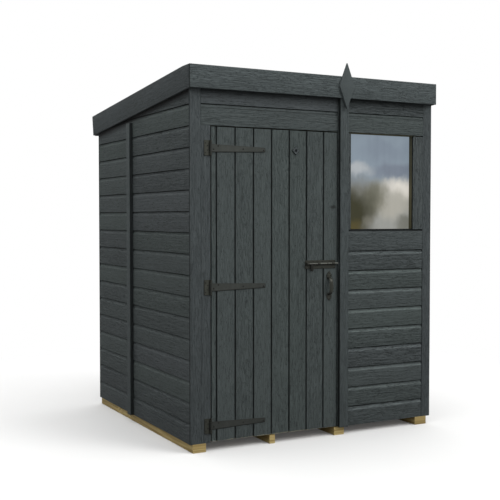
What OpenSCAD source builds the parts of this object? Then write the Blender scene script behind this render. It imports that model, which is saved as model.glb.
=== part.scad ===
// Pent garden shed: two-panel front and sides in shiplap boards, a boarded door
// on T-hinges, one fixed window, a mono-pitch felted roof with fascias, and bearers.
//
// Sizes are millimetres. Inside the modules X runs along the front from the left
// corner, Y from the front cladding to the back, and Z up from the foot of the
// walls; place() moves all of it so that the origin is the middle of the shed's
// box on the ground.

/* [Walls] */
// Width across the front cladding
wall_w = 1620; // [1600:5:1660]
// Depth from the front cladding to the back cladding
wall_d = 1520; // [1480:5:1560]
// Face height of one cladding board
board_h = 114.7; // [114:0.1:116]
// Thickness of the cladding
clad_t = 12; // [10:1:14]
// Depth of the framing behind the cladding
stud_d = 44; // [40:1:50]
// Width of one stud or rail
stud_w = 28; // [24:1:34]
// Width of the trim at the front left corner
trim_left_w = 65; // [50:1:70]
// Width of the trim at the front right corner
trim_right_w = 62; // [50:1:70]
// How far the strips over the panel joints stand proud
strip_t = 22; // [18:1:26]

/* [Floor] */
// Height of the bearers
bearer_h = 48; // [40:1:60]
// Thickness of the floor boards
deck_t = 16; // [12:1:20]

/* [Door] */
// Left edge of the door leaf
door_x = 127; // [122:1:132]
// Width of the door leaf
door_w = 807; // [780:1:807]
// Gap under the door leaf, above the foot of the walls
door_foot = 5; // [5:1:12]
// Height of the top of the door leaf above the foot of the walls
door_top = 1719; // [1650:1:1719]
// Gap between the door leaf and what stands round it
door_gap = 5.5; // [5:0.5:8]

/* [Window] */
// Left edge of the window opening
window_x = 1030.5; // [1025:0.5:1040]
// Width of the window opening
window_w = 452; // [420:1:460]
// Foot of the window opening
window_z = 1155.5; // [1150:0.5:1200]
// Height of the window opening
window_h = 564; // [500:1:565]

/* [Roof] */
// Pitch of the roof, falling to the back, in degrees
roof_pitch = 4.5; // [4:0.1:5]
// Height of the fascias
fascia_h = 124.5; // [110:0.5:140]
// Top of the front fascia above the foot of the walls
fascia_top = 2041.5; // [2035:0.5:2060]

/* [Hidden] */
paint = [0.24, 0.27, 0.28];
bare_pine = [0.72, 0.62, 0.42];
felt_green = [0.20, 0.22, 0.22];
dark_metal = [0.13, 0.13, 0.12];
pane_tint = [0.62, 0.70, 0.76, 0.5];

// Fits and small clearances
pin_fit = 0.06;        // radial clearance of the strap barrels on their pins
rod_fit = 0.6;         // radial clearance of the bolt in its guides
hair = 0.5;            // gap that keeps like solids of one node apart
seat_fit = 0.02;       // gap under the sheet and the felt, more than rounding can close

// Panel joints, covered by the proud strips
front_joint_x = 971;
front_strip_x = [940, 1002];
side_joint_y = 892;
side_strip_w = 55;
side_strip_top = 1808; // the strips stop at the top board line

// Floor and bearers, each bearer as [left, right]
bearer_spans = [[13, 92], [487, 522], [919, 987], [1508, 1592]];
deck_front_y = 18;

// Roof build-up, measured straight down from the line of the fascia tops
fascia_t = 14;
side_fascia_t = 12;
fascia_front_y = -30;
fascia_back_y = fascia_front_y + fascia_t;
roof_back_y = wall_d + 97;
tail_rake = 20;        // how far the tail of a side fascia leans back
side_fascia_rise = 7;  // how far the side fascias stand above the roof's line
felt_drop = 6;
felt_t = 3;
sheet_t = 11;
purlin_w = 38;
purlin_h = 63;
purlin_ys = [260, 740, 1220];
back_fascia_y = [wall_d + 63, wall_d + 77];
back_fascia_low = 3;   // how far the back fascia hangs below the side fascias

// Finial over the joint of the front fascia
finial_x = 976;
finial_z = 1985;
finial_half = [51.5, 132];
finial_t = 12;

// Hinges: pin axis, plate, barrel and tapered strap
hinge_zs = [92.5, 848, 1602];
pin_x = door_x - 8;
pin_y = -7;
pin_r = 3;
barrel_r = 6.5;
barrel_half = 21.5;
plate_half = 42;
plate_x = 82;
metal_t = 3;
strap_end_x = 458;
strap_half = [22, 12.5];
strap_clip = 2;        // how much is taken off each corner of a strap's end

// Bolt on the door
bolt_z = 962;
bolt_y = -12;
bolt_r = 5;
bolt_plate_x = [717, 923];
bolt_plate_z = [932.5, 981.5];
bolt_plate_t = 2;
guide_xs = [717, 793, 898];
guide_w = 16;
guide_half = 9;
guide_front = -19;
rod_x = [724, door_x + door_w];
tongue_x = [750, 766];
tongue_drop = 44;
tongue_t = 4;
socket_depth = 22;

// Pull handle: two leaf plates and a bow
handle_x = 880;
leaf_half = 18;
bow_w = 20;
bow_front = -31;
bow_t = 7;
bow_z = [778, 884];
leaf_tips = [745, 917];

// Small diamond plate on the door
diamond_at = [654, 1605];
diamond_half = 25;
diamond_t = 6;

// Ledges on the back of the door
ledge_zs = [170, 810, 1450];
ledge_h = 95;
ledge_t = 20;
ledge_x = [150, 915];

frame_y = clad_t;
frame_back_y = clad_t + stud_d;
header_z = 15 * board_h + 4.5;
window_side_x = window_x + window_w;
pane_y = 40;
pane_t = 4;
bead_w = 13;

// Box the shed fills from front to back, for the origin
mid_y = (fascia_front_y - finial_t + roof_back_y) / 2;

// Height of the line of the fascia tops at a distance y behind the front cladding
function roof_line(y) = fascia_top - tan(roof_pitch) * (y - fascia_back_y);

// Height of what the roof sheet rests on at y
function under_roof(y) = roof_line(y) - felt_drop - felt_t - sheet_t - seat_fit;

module place() {
    translate([-wall_w / 2, -mid_y, bearer_h]) children();
}

// Block between two corners
module block(from, to) {
    translate(from) cube(to - from);
}

// Prism along X whose outline lies in the Y-Z plane
module along_x(from_x, to_x, outline) {
    translate([from_x, 0, 0])
        rotate([90, 0, 90])
            linear_extrude(to_x - from_x) polygon(outline);
}

// Plate standing in the X-Z plane, from depth y to y + t
module upright_plate(y, t, outline) {
    translate([0, y + t, 0])
        rotate([90, 0, 0])
            linear_extrude(t) polygon(outline);
}

// Rod along X
module rod_along_x(from_x, to_x, y, z, r) {
    translate([from_x, y, z])
        rotate([0, 90, 0])
            cylinder(h = to_x - from_x, r = r, $fn = 64);
}

// Slab of a side wall between two depths, its top cut to the roof
module side_slab(from_x, to_x, from_y, to_y, foot, drop = 0) {
    along_x(from_x, to_x, [
        [from_y, foot],
        [to_y, foot],
        [to_y, under_roof(to_y) - drop],
        [from_y, under_roof(from_y) - drop]
    ]);
}

// Children on the left side and again, mirrored, on the right side
module both_sides() {
    children();
    translate([wall_w, 0, 0]) mirror([1, 0, 0]) children();
}

// Floor and bearers

module bearers() {
    place() color(bare_pine)
        for (span = bearer_spans)
            block([span[0], 0, -bearer_h], [span[1], wall_d, 0]);
}

module floor_deck() {
    place() color(bare_pine)
        block([clad_t, deck_front_y, 0], [wall_w - clad_t, wall_d - clad_t, deck_t]);
}

// Front wall

// Slab of the front cladding
module front_slab(from_x, to_x, from_z, to_z) {
    place() color(paint) block([from_x, 0, from_z], [to_x, clad_t, to_z]);
}

front_top = under_roof(clad_t);
right_trim_x = wall_w - trim_right_w;

module front_trim_left() {
    front_slab(0, trim_left_w, 0, front_top);
}

module door_jamb_board() {
    front_slab(trim_left_w, door_x - door_gap, 0, header_z);
}

module front_header() {
    front_slab(trim_left_w, front_strip_x[0], header_z, front_top);
}

module front_joint_board() {
    front_slab(front_strip_x[0], window_x, 0, front_top);
}

module window_apron() {
    front_slab(window_x, right_trim_x, 0, window_z);
}

module window_header() {
    front_slab(window_x, right_trim_x, window_z + window_h, front_top);
}

module window_side_board() {
    front_slab(window_side_x, right_trim_x, window_z, window_z + window_h);
}

module front_trim_right() {
    front_slab(right_trim_x, wall_w, 0, front_top);
}

// Proud strip over the front panel joint, with the socket that the bolt enters
module front_strip() {
    place() color(paint)
        difference() {
            block([front_strip_x[0], -strip_t, 0],
                [front_strip_x[1], 0, fascia_top - fascia_h]);
            rod_along_x(front_strip_x[0] - 1, front_strip_x[0] + socket_depth,
                bolt_y, bolt_z, bolt_r + 1);
        }
}

module front_studs() {
    lefts = [
        clad_t,
        door_x - door_gap - stud_w,
        front_joint_x - hair - stud_w,
        window_side_x,
        wall_w - clad_t - stud_w
    ];
    place() color(bare_pine) {
        for (x = lefts)
            block([x, frame_y, deck_t], [x + stud_w, frame_back_y, under_roof(frame_back_y)]);
        block([front_joint_x + hair, frame_y, deck_t],
            [window_x, frame_back_y, under_roof(frame_back_y)]);
    }
}

module front_rails() {
    top = under_roof(frame_back_y);
    door_right_x = front_joint_x - hair - stud_w;
    rails = [
        [clad_t + stud_w, door_x - door_gap - stud_w, deck_t],
        [clad_t + stud_w, door_x - door_gap - stud_w, top - stud_w],
        [door_x - door_gap, door_right_x, header_z],
        [door_x - door_gap, door_right_x, top - stud_w],
        [window_x, window_side_x, deck_t],
        [window_x, window_side_x, window_z - stud_w],
        [window_x, window_side_x, window_z + window_h],
        [window_x, window_side_x, top - stud_w],
        [window_side_x + stud_w, wall_w - clad_t - stud_w, deck_t],
        [window_side_x + stud_w, wall_w - clad_t - stud_w, top - stud_w]
    ];
    place() color(bare_pine)
        for (rail = rails)
            block([rail[0], frame_y, rail[2]], [rail[1], frame_back_y, rail[2] + stud_w]);
}

// Side walls

// Slab of the left cladding, or of the right one where flip is true
module side_cladding(from_y, to_y, flip) {
    place() color(paint)
        translate([flip ? wall_w - clad_t : 0, 0, 0])
            side_slab(0, clad_t, from_y, to_y, 0);
}

module left_wall_front() {
    side_cladding(clad_t, side_joint_y, false);
}

module left_wall_back() {
    side_cladding(side_joint_y, wall_d - clad_t, false);
}

module right_wall_front() {
    side_cladding(clad_t, side_joint_y, true);
}

module right_wall_back() {
    side_cladding(side_joint_y, wall_d - clad_t, true);
}

// Strips over the side panel joints, stopped at the top board line
module side_strips() {
    from_y = side_joint_y - side_strip_w / 2;
    to_y = side_joint_y + side_strip_w / 2;
    place() color(paint)
        both_sides()
            block([-strip_t, from_y, 0], [0, to_y, side_strip_top]);
}

// Height of the lower edge of a side fascia at y
function fascia_foot(y) = roof_line(y) - fascia_h / cos(roof_pitch);

side_stud_ys = [
    frame_back_y,
    side_joint_y - hair - stud_w,
    side_joint_y + hair,
    wall_d - frame_back_y - stud_w
];

module side_studs() {
    place() color(bare_pine)
        both_sides()
            for (y = side_stud_ys)
                side_slab(clad_t, frame_back_y, y, y + stud_w, deck_t);
}

// Foot, middle and top rails in each bay between the side studs
module side_rails() {
    bays = [[0, 1], [2, 3]];
    mid_z = 9 * board_h;
    place() color(bare_pine)
        both_sides()
            for (bay = bays) {
                from_y = side_stud_ys[bay[0]] + stud_w;
                to_y = side_stud_ys[bay[1]];
                block([clad_t, from_y, deck_t], [frame_back_y, to_y, deck_t + stud_w]);
                block([clad_t, from_y, mid_z], [frame_back_y, to_y, mid_z + stud_w]);
                along_x(clad_t, frame_back_y, [
                    [from_y, under_roof(from_y) - stud_w],
                    [to_y, under_roof(to_y) - stud_w],
                    [to_y, under_roof(to_y)],
                    [from_y, under_roof(from_y)]
                ]);
            }
}

// Back wall

back_top = under_roof(wall_d);
back_trim_w = 50;

module back_slab(from_x, to_x) {
    place() color(paint)
        block([from_x, wall_d - clad_t, 0], [to_x, wall_d, back_top]);
}

module back_wall_left() {
    back_slab(back_trim_w, front_joint_x);
}

module back_wall_right() {
    back_slab(front_joint_x, wall_w - back_trim_w);
}

module back_strip() {
    place() color(paint)
        block([front_strip_x[0], wall_d, 0],
            [front_strip_x[1], wall_d + strip_t, under_roof(wall_d + strip_t)]);
}

module back_trims() {
    place() color(paint)
        both_sides()
            block([0, wall_d - clad_t, 0], [back_trim_w, wall_d, back_top]);
}

back_stud_xs = [
    clad_t,
    480,
    front_joint_x - hair - stud_w,
    front_joint_x + hair,
    wall_w - clad_t - stud_w
];

module back_studs() {
    place() color(bare_pine)
        for (x = back_stud_xs)
            block([x, wall_d - frame_back_y, deck_t], [x + stud_w, wall_d - clad_t, back_top]);
}

module back_rails() {
    bays = [[0, 1], [1, 2], [3, 4]];
    place() color(bare_pine)
        for (bay = bays)
            for (z = [deck_t, 9 * board_h, back_top - stud_w])
                block([back_stud_xs[bay[0]] + stud_w, wall_d - frame_back_y, z],
                    [back_stud_xs[bay[1]], wall_d - clad_t, z + stud_w]);
}

// Roof

module purlins() {
    place() color(bare_pine)
        for (y = purlin_ys)
            along_x(frame_back_y, wall_w - frame_back_y, [
                [y, under_roof(y) - purlin_h],
                [y + purlin_w, under_roof(y + purlin_w) - purlin_h],
                [y + purlin_w, under_roof(y + purlin_w)],
                [y, under_roof(y)]
            ]);
}

// Layer of the roof between two drops below the line of the fascia tops
module roof_layer(from_y, to_y, top_drop, foot_drop) {
    along_x(0, wall_w, [
        [from_y, roof_line(from_y) - foot_drop],
        [to_y, roof_line(to_y) - foot_drop],
        [to_y, roof_line(to_y) - top_drop],
        [from_y, roof_line(from_y) - top_drop]
    ]);
}

module roof_deck() {
    place() color(bare_pine)
        roof_layer(fascia_back_y, roof_back_y - 10, felt_drop + felt_t,
            felt_drop + felt_t + sheet_t);
}

module roof_felt() {
    place() color(felt_green)
        roof_layer(fascia_back_y, roof_back_y - 4, felt_drop,
            felt_drop + felt_t - seat_fit);
}

module front_fascia(from_x, to_x) {
    place() color(paint)
        block([from_x, fascia_front_y, fascia_top - fascia_h],
            [to_x, fascia_back_y, fascia_top]);
}

module front_fascia_left() {
    front_fascia(-side_fascia_t, front_joint_x);
}

module front_fascia_right() {
    front_fascia(front_joint_x, wall_w + side_fascia_t);
}

// Side fascia, its top cut level at the front and its tail raked back at the low end
module side_fascia(from_x) {
    tail_y = roof_back_y - tail_rake;
    level_y = fascia_back_y + side_fascia_rise / tan(roof_pitch);
    place() color(paint)
        along_x(from_x, from_x + side_fascia_t, [
            [fascia_back_y, fascia_foot(fascia_back_y)],
            [tail_y, fascia_foot(tail_y)],
            [roof_back_y, roof_line(roof_back_y) + side_fascia_rise],
            [level_y, fascia_top],
            [fascia_back_y, fascia_top]
        ]);
}

module left_fascia() {
    side_fascia(-side_fascia_t);
}

module right_fascia() {
    side_fascia(wall_w);
}

module back_fascia() {
    y = back_fascia_y[1];
    place() color(paint)
        block([0, back_fascia_y[0], fascia_foot(y) - back_fascia_low],
            [wall_w, y, under_roof(y)]);
}

module finial() {
    place() color(paint)
        upright_plate(fascia_front_y - finial_t, finial_t, [
            [finial_x - finial_half[0], finial_z],
            [finial_x, finial_z - finial_half[1]],
            [finial_x + finial_half[0], finial_z],
            [finial_x, finial_z + finial_half[1]]
        ]);
}

// Window

module window_pane() {
    place() color(pane_tint)
        block([window_x, pane_y, window_z],
            [window_side_x, pane_y + pane_t, window_z + window_h]);
}

// Beads inside the pane, mitred at the corners with a hair's gap
module window_beads() {
    from_y = pane_y + pane_t;
    w = window_w;
    h = window_h;
    level = [[hair, 0], [w - hair, 0], [w - bead_w - hair, bead_w], [bead_w + hair, bead_w]];
    side = [[0, hair], [bead_w, bead_w + hair], [bead_w, h - bead_w - hair], [0, h - hair]];
    place() color(bare_pine)
        translate([window_x, 0, window_z]) {
            upright_plate(from_y, frame_back_y - from_y, level);
            translate([0, 0, h]) mirror([0, 0, 1])
                upright_plate(from_y, frame_back_y - from_y, level);
            upright_plate(from_y, frame_back_y - from_y, side);
            translate([w, 0, 0]) mirror([1, 0, 0])
                upright_plate(from_y, frame_back_y - from_y, side);
        }
}

// Hinges

// Plate on the door jamb with its two barrels and the pin
module hinge_plates() {
    place() color(dark_metal)
        for (z = hinge_zs)
            translate([0, 0, z]) {
                block([plate_x, -metal_t, -plate_half],
                    [pin_x - barrel_r - 1, 0, plate_half]);
                for (foot = [-plate_half, barrel_half + 1]) {
                    tall = plate_half - barrel_half - 1;
                    block([pin_x - barrel_r - 2, -metal_t, foot], [pin_x, 0, foot + tall]);
                    translate([pin_x, pin_y, foot])
                        cylinder(h = tall, r = barrel_r, $fn = 64);
                }
                translate([pin_x, pin_y, -plate_half])
                    cylinder(h = 2 * plate_half, r = pin_r, $fn = 64);
            }
}

// Tapered strap on the door with the bored barrel that turns on the pin
module hinge_straps() {
    place() color(dark_metal)
        for (z = hinge_zs)
            translate([0, 0, z])
                difference() {
                    union() {
                        upright_plate(-metal_t, metal_t, [
                            [pin_x, -barrel_half],
                            [pin_x + 12, -strap_half[0]],
                            [strap_end_x - strap_clip, -strap_half[1]],
                            [strap_end_x, -strap_half[1] + strap_clip],
                            [strap_end_x, strap_half[1] - strap_clip],
                            [strap_end_x - strap_clip, strap_half[1]],
                            [pin_x + 12, strap_half[0]],
                            [pin_x, barrel_half]
                        ]);
                        translate([pin_x, pin_y, -barrel_half])
                            cylinder(h = 2 * barrel_half, r = barrel_r, $fn = 64);
                    }
                    translate([pin_x, pin_y, -plate_half])
                        cylinder(h = 2 * plate_half, r = pin_r + pin_fit, $fn = 64);
                }
}

// Door

module door_leaf() {
    place() color(paint)
        block([door_x, 0, door_foot], [door_x + door_w, clad_t, door_top]);
}

module door_ledges() {
    place() color(bare_pine)
        for (z = ledge_zs)
            block([ledge_x[0], clad_t, z], [ledge_x[1], clad_t + ledge_t, z + ledge_h]);
}

// Back plate of the bolt with the three bored guides
module bolt_plate() {
    place() color(dark_metal)
        difference() {
            union() {
                block([bolt_plate_x[0], -bolt_plate_t, bolt_plate_z[0]],
                    [bolt_plate_x[1], 0, bolt_plate_z[1]]);
                for (x = guide_xs)
                    block([x, guide_front, bolt_z - guide_half],
                        [x + guide_w, -bolt_plate_t / 2, bolt_z + guide_half]);
            }
            rod_along_x(bolt_plate_x[0] - 1, bolt_plate_x[1] + 1, bolt_y, bolt_z,
                bolt_r + rod_fit);
        }
}

// Sliding bolt with the flat tongue that it is pulled by
module bolt_rod() {
    place() color(dark_metal) {
        rod_along_x(rod_x[0], rod_x[1], bolt_y, bolt_z, bolt_r);
        block([tongue_x[0], bolt_y - tongue_t / 2, bolt_z - tongue_drop],
            [tongue_x[1], bolt_y + tongue_t / 2, bolt_z]);
    }
}

module pull_handle() {
    place() color(dark_metal) {
        for (end = [0, 1]) {
            tip = leaf_tips[end];
            root = bow_z[end];
            mid = root + (tip - root) / 4;
            over = root + (1 - 2 * end) * 12;
            outline = [
                [handle_x - bow_w / 2, over],
                [handle_x - leaf_half, mid],
                [handle_x, tip],
                [handle_x + leaf_half, mid],
                [handle_x + bow_w / 2, over]
            ];
            upright_plate(-metal_t, metal_t, outline);
        }
        along_x(handle_x - bow_w / 2, handle_x + bow_w / 2, [
            [0, bow_z[0]],
            [-20, bow_z[0] + 5],
            [bow_front, bow_z[0] + 20],
            [bow_front, bow_z[1] - 20],
            [-20, bow_z[1] - 5],
            [0, bow_z[1]],
            [0, bow_z[1] - 9],
            [-17, bow_z[1] - 13],
            [bow_front + bow_t, bow_z[1] - 24],
            [bow_front + bow_t, bow_z[0] + 24],
            [-17, bow_z[0] + 13],
            [0, bow_z[0] + 9]
        ]);
    }
}

module door_diamond() {
    place() color(paint)
        upright_plate(-diamond_t, diamond_t, [
            [diamond_at[0] - diamond_half, diamond_at[1]],
            [diamond_at[0], diamond_at[1] - diamond_half],
            [diamond_at[0] + diamond_half, diamond_at[1]],
            [diamond_at[0], diamond_at[1] + diamond_half]
        ]);
}

bearers();
floor_deck();
front_trim_left();
door_jamb_board();
front_header();
front_joint_board();
window_apron();
window_header();
window_side_board();
front_trim_right();
front_strip();
front_studs();
front_rails();
left_wall_front();
left_wall_back();
right_wall_front();
right_wall_back();
side_strips();
side_studs();
side_rails();
back_wall_left();
back_wall_right();
back_strip();
back_trims();
back_studs();
back_rails();
purlins();
roof_deck();
roof_felt();
front_fascia_left();
front_fascia_right();
left_fascia();
right_fascia();
back_fascia();
finial();
window_pane();
window_beads();
hinge_plates();
door_leaf();
door_ledges();
hinge_straps();
bolt_plate();
pull_handle();
door_diamond();
bolt_rod();
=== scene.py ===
"""The looks of a pent garden shed, worked out around its packed construction.

Everything is in metres in the construction's own frame: X runs along the front,
Y from the front to the back, and Z up. Boards, plates, rods and turned pieces are
surfaces computed as whole arrays, and every finish is a procedural material.
"""

import logging
import math
from dataclasses import dataclass
from enum import Enum
from typing import Any, Callable, Sequence

import bmesh
import bpy
import numpy as np
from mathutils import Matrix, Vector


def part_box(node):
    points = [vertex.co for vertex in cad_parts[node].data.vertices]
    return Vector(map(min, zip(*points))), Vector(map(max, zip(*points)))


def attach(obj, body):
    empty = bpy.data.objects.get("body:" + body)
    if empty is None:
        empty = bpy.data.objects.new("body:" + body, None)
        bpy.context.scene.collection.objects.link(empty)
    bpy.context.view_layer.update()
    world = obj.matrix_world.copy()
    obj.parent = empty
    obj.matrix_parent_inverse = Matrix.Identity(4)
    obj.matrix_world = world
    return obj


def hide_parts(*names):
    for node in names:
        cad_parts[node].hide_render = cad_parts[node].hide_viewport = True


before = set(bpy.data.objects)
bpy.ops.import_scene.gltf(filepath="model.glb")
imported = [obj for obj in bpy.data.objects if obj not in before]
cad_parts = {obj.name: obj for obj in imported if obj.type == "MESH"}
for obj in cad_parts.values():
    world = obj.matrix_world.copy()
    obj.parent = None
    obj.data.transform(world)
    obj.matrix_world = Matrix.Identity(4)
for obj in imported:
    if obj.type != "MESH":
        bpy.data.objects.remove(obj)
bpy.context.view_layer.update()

log = logging.getLogger("shed")
MM = 0.001
TURN = 2 * math.pi
# The recess attribute carries painted shade, above 0, and painted highlight, below 0, on every
# piece.
GRAIN_MAP, BOARD_TONE, PAINTED_SHADE = "grain", "board_tone", "recess"
FORWARD, LEVEL, UPWARD = (0.0, -1.0, 0.0), (1.0, 0.0, 0.0), (0.0, 0.0, 1.0)

Place = Sequence[float]
Tint = tuple[float, float, float]
Material = bpy.types.Material
Socket = bpy.types.NodeSocket
Line = Callable[[np.ndarray], np.ndarray]


# ---------------------------------------------------------------- construction


@dataclass(frozen=True)
class Extent:
    """The box that one node of the construction fills, in metres."""

    low: np.ndarray
    high: np.ndarray

    @classmethod
    def of(cls, node: str) -> "Extent":
        """Reads a node's box at rest."""
        return cls(*(np.array(corner, float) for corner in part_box(node)))

    @property
    def size(self) -> np.ndarray:
        """The box's lengths along X, Y and Z."""
        return self.high - self.low

    @property
    def middle(self) -> np.ndarray:
        """The centre of the box."""
        return (self.low + self.high) / 2

    def trimmed(self, **ends: float) -> "Extent":
        """Gives the box with some of its ends set anew.

        Args:
            ends: The new ends, named x0, x1, y0, y1, z0 or z1.

        Returns:
            The new box.
        """
        box = {"0": self.low.copy(), "1": self.high.copy()}
        for name, value in ends.items():
            box[name[1]]["xyz".index(name[0])] = value
        return Extent(box["0"], box["1"])


def parts_of(node: str) -> list[Extent]:
    """Finds the boxes of a node's separate solids.

    Corners at one place count as one, and every corner takes the lowest label among
    the triangles that it is in, over and over, until each solid has one label.

    Args:
        node: Name of the node.

    Returns:
        The boxes, sorted by their low corners along X, then Y, then Z.
    """
    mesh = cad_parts[node].data
    places = np.empty(len(mesh.vertices) * 3, np.float32)
    mesh.vertices.foreach_get("co", places)
    places = places.reshape(-1, 3).astype(float)
    used = np.empty(len(mesh.loops), np.int32)
    mesh.loops.foreach_get("vertex_index", used)
    _, same = np.unique(np.round(places / 1e-5), axis=0, return_inverse=True)
    faces = same.reshape(-1)[used].reshape(-1, 3)
    label, lowest = None, np.arange(faces.max() + 1)
    while not np.array_equal(lowest, label):
        label, lowest = lowest, lowest.copy()
        np.minimum.at(lowest, faces.reshape(-1), np.repeat(label[faces].min(1), 3))
    solids = (places[label[same.reshape(-1)] == one] for one in np.unique(label))
    boxes = [Extent(solid.min(0), solid.max(0)) for solid in solids]
    return sorted(boxes, key=lambda box: tuple(np.round(box.low, 4)))


@dataclass(frozen=True)
class RoofPlane:
    """The sloping underside of the roof sheet, falling towards the back."""

    front_y: float
    front_z: float
    fall: float

    @classmethod
    def of_sheet(cls, sheet_t: float = 11 * MM) -> "RoofPlane":
        """Works the plane out from the roof sheet's box.

        Args:
            sheet_t: Thickness of the sheet, measured straight down.

        Returns:
            The plane of the sheet's underside.
        """
        sheet = Extent.of("roof_deck")
        fall = (sheet.size[2] - sheet_t) / sheet.size[1]
        return cls(sheet.low[1], sheet.high[2] - sheet_t, fall)

    def height(self, y: float) -> float:
        """Height of the underside at a depth y."""
        return self.front_z - self.fall * (y - self.front_y)


class Lay(Enum):
    """How a board lies: the way its length, its face and its width point."""

    FRONT_LEVEL = ("+x", "-y", "+z")
    FRONT_UPRIGHT = ("+z", "-y", "+x")
    LEFT_LEVEL = ("+y", "-x", "+z")
    LEFT_UPRIGHT = ("+z", "-x", "+y")
    RIGHT_LEVEL = ("+y", "+x", "+z")
    RIGHT_UPRIGHT = ("+z", "+x", "+y")
    BACK_LEVEL = ("+x", "+y", "+z")
    BACK_UPRIGHT = ("+z", "+y", "+x")
    FLAT_ACROSS = ("+x", "+z", "+y")
    FLAT_DEEP = ("+y", "-z", "+x")

    @property
    def axes(self) -> np.ndarray:
        """Unit vectors of length, face and width, one a row."""
        rows = np.zeros((3, 3))
        for row, name in zip(rows, self.value):
            row["xyz".index(name[1])] = 1.0 if name[0] == "+" else -1.0
        return rows


# -------------------------------------------------------------------- surfaces


class Cove(Enum):
    """Painted light over a cove: painted shade at its foot, low and halfway up, a painted highlight
    below 0, and the cove's height.
    """

    BRIGHT = (-0.25, -0.85, -0.35, 21 * MM)
    DULL = (-0.05, -0.22, 0.0, 20 * MM)
    LINED = (0.60, 0.15, 0.0, 15.5 * MM)
    PLAIN = (0.0, 0.0, 0.0, 12 * MM)


@dataclass(frozen=True)
class Section:
    """The cross-section of a board, as a front and a back line from edge to edge.

    Each point is (depth, height): depth 0 is the face and goes negative into the
    board, and height runs over the board's width. Both lines have as many points.
    The shade of a point of the front is painted shade, up to 1; below 0 it is a painted highlight.
    """

    front: np.ndarray
    back: np.ndarray
    shade: np.ndarray | None = None

    @classmethod
    def slab(cls, front: np.ndarray, thickness: float, shade: np.ndarray,
             heights: np.ndarray | None = None) -> "Section":
        """Gives a front a flat back.

        Args:
            front: Points of the front.
            thickness: Depth of the back.
            shade: Shade of each point of the front.
            heights: Heights of the back's points, or None for those of the front.

        Returns:
            The section.
        """
        heights = front[:, 1] if heights is None else heights
        return cls(front, np.stack([np.full(len(front), -thickness), heights], 1), shade)

    @property
    def ring(self) -> np.ndarray:
        """The closed outline: up the front and down the back."""
        return np.concatenate([self.front, self.back[::-1]])

    @property
    def shades(self) -> np.ndarray:
        """The shade round the outline, carried over both edges to the back."""
        front = np.zeros(len(self.front)) if self.shade is None else self.shade
        back = np.zeros(len(front))
        back[[0, -1]] = front[[0, -1]]
        return np.concatenate([front, back[::-1]])


def arc(centre: Place, radius: float, start: float, end: float, count: int = 4) -> np.ndarray:
    """Points on a circle's arc.

    Args:
        centre: The circle's centre.
        radius: Its radius.
        start: Angle of the first point, in degrees.
        end: Angle of the last point, in degrees.
        count: Number of points.

    Returns:
        The points, one a row.
    """
    turn = np.radians(np.linspace(start, end, count))
    return np.asarray(centre) + radius * np.stack([np.cos(turn), np.sin(turn)], 1)


def eased_section(width: float, thickness: float, ease: float = 1.5 * MM,
                  edge_shade: float = 0.5) -> Section:
    """A rectangle whose two front arrises are quarter circles.

    Args:
        width: Width of the board.
        thickness: Thickness of the board.
        ease: Radius of the arrises.
        edge_shade: Shade of the two edges.

    Returns:
        The section.
    """
    front = np.concatenate([arc((-ease, ease), ease, -90, 0),
                            arc((-ease, width - ease), ease, 0, 90)])
    rise = np.array([1.0, 0.1, 0.0, 0.0])
    return Section.slab(front, thickness, edge_shade * np.concatenate([rise, rise[::-1]]))


def shiplap_section(pitch: float, thickness: float, style: Cove, hollow: float = 5.5 * MM,
                    slot: float = 3.0 * MM, rebate: float = 9 * MM,
                    foot_shade: float = 1.0) -> Section:
    """A shiplap board: flat face, hollow cove above it, and a rebate at the top.

    Over the cove the depth is -hollow (1 - (1 - t)^2), with t from 0 at the face
    to 1 at the rebate, which leaves a shadow slot under the next board. The foot
    and the top slant alike, so the next board's foot closes on this one's top.

    Args:
        pitch: Height that one board covers.
        thickness: Thickness of the board.
        style: The painted highlight and shade over the cove, and the cove's height.
        hollow: Depth of the cove at its top.
        slot: Height of the rebate.
        rebate: Depth of the rebate.
        foot_shade: Shade of the board's foot.

    Returns:
        The section.
    """
    ease, slant = 0.7 * MM, 4 * MM
    foot_shading, low_shading, half_shading, cove = style.value
    t = np.linspace(0, 1, 9)
    rise = pitch - slot - cove + cove * t
    curve = np.stack([-hollow * (1 - (1 - t) ** 2), rise], 1)
    top = pitch + slant * (rebate - ease) / (thickness - ease)
    step = np.array([[-rebate, pitch - slot], [-rebate, top]])
    below = np.array([[0, rise[0] - 5 * MM], [0, rise[0] - 2.5 * MM]])
    front = np.concatenate([arc((-ease, ease), ease, -90, 0), below, curve, step])
    heights = np.maximum(front[:, 1], slant)
    heights[-1] = pitch + slant
    # Painted highlight low on the cove, painted shade near its top and in the slot.
    shade_and_wear = np.interp(t, [0, 0.15, 0.35, 0.55, 0.8, 1],
                     [foot_shading, low_shading, low_shading, half_shading, 0, 0.45])
    foot = foot_shade * np.array([1.0, 0.5, 0.1, 0.0])
    shade = np.concatenate([foot, [0.0, foot_shading], shade_and_wear, [1.0, 1.0]])
    return Section.slab(front, thickness, shade, heights)


def grooved_section(width: float, thickness: float, chamfer: float = 2.6 * MM,
                    gap: float = 2.5 * MM, depth: float = 7 * MM,
                    plain: tuple[bool, bool] = (False, False)) -> Section:
    """A tongued board with a chamfer along each front arris.

    Args:
        width: Width from the middle of one groove to the middle of the next.
        thickness: Thickness of the board.
        chamfer: Leg of the chamfer.
        gap: Half the gap to the next board.
        depth: Depth of the groove.
        plain: Whether the first and the last edge are square outer ones.

    Returns:
        The section.
    """
    sides = []
    for outer in plain:
        # Painted shade in the grooves, fainter on square outer edges.
        leg, half, dark = (1 * MM, 0.0, 0.15) if outer else (chamfer, gap, 1.0)
        edge = np.array([[-depth, half], [-leg, half], [0, half + leg], [0, half + 1.3 * leg]])
        sides.append((edge, dark * np.array([1.0, 0.9, 0.45, 0.0])))
    (foot, foot_shade), (head, head_shade) = sides
    front = np.concatenate([foot, (head * (1, -1) + (0, width))[::-1]])
    return Section.slab(front, thickness, np.concatenate([foot_shade, head_shade[::-1]]))


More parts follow.
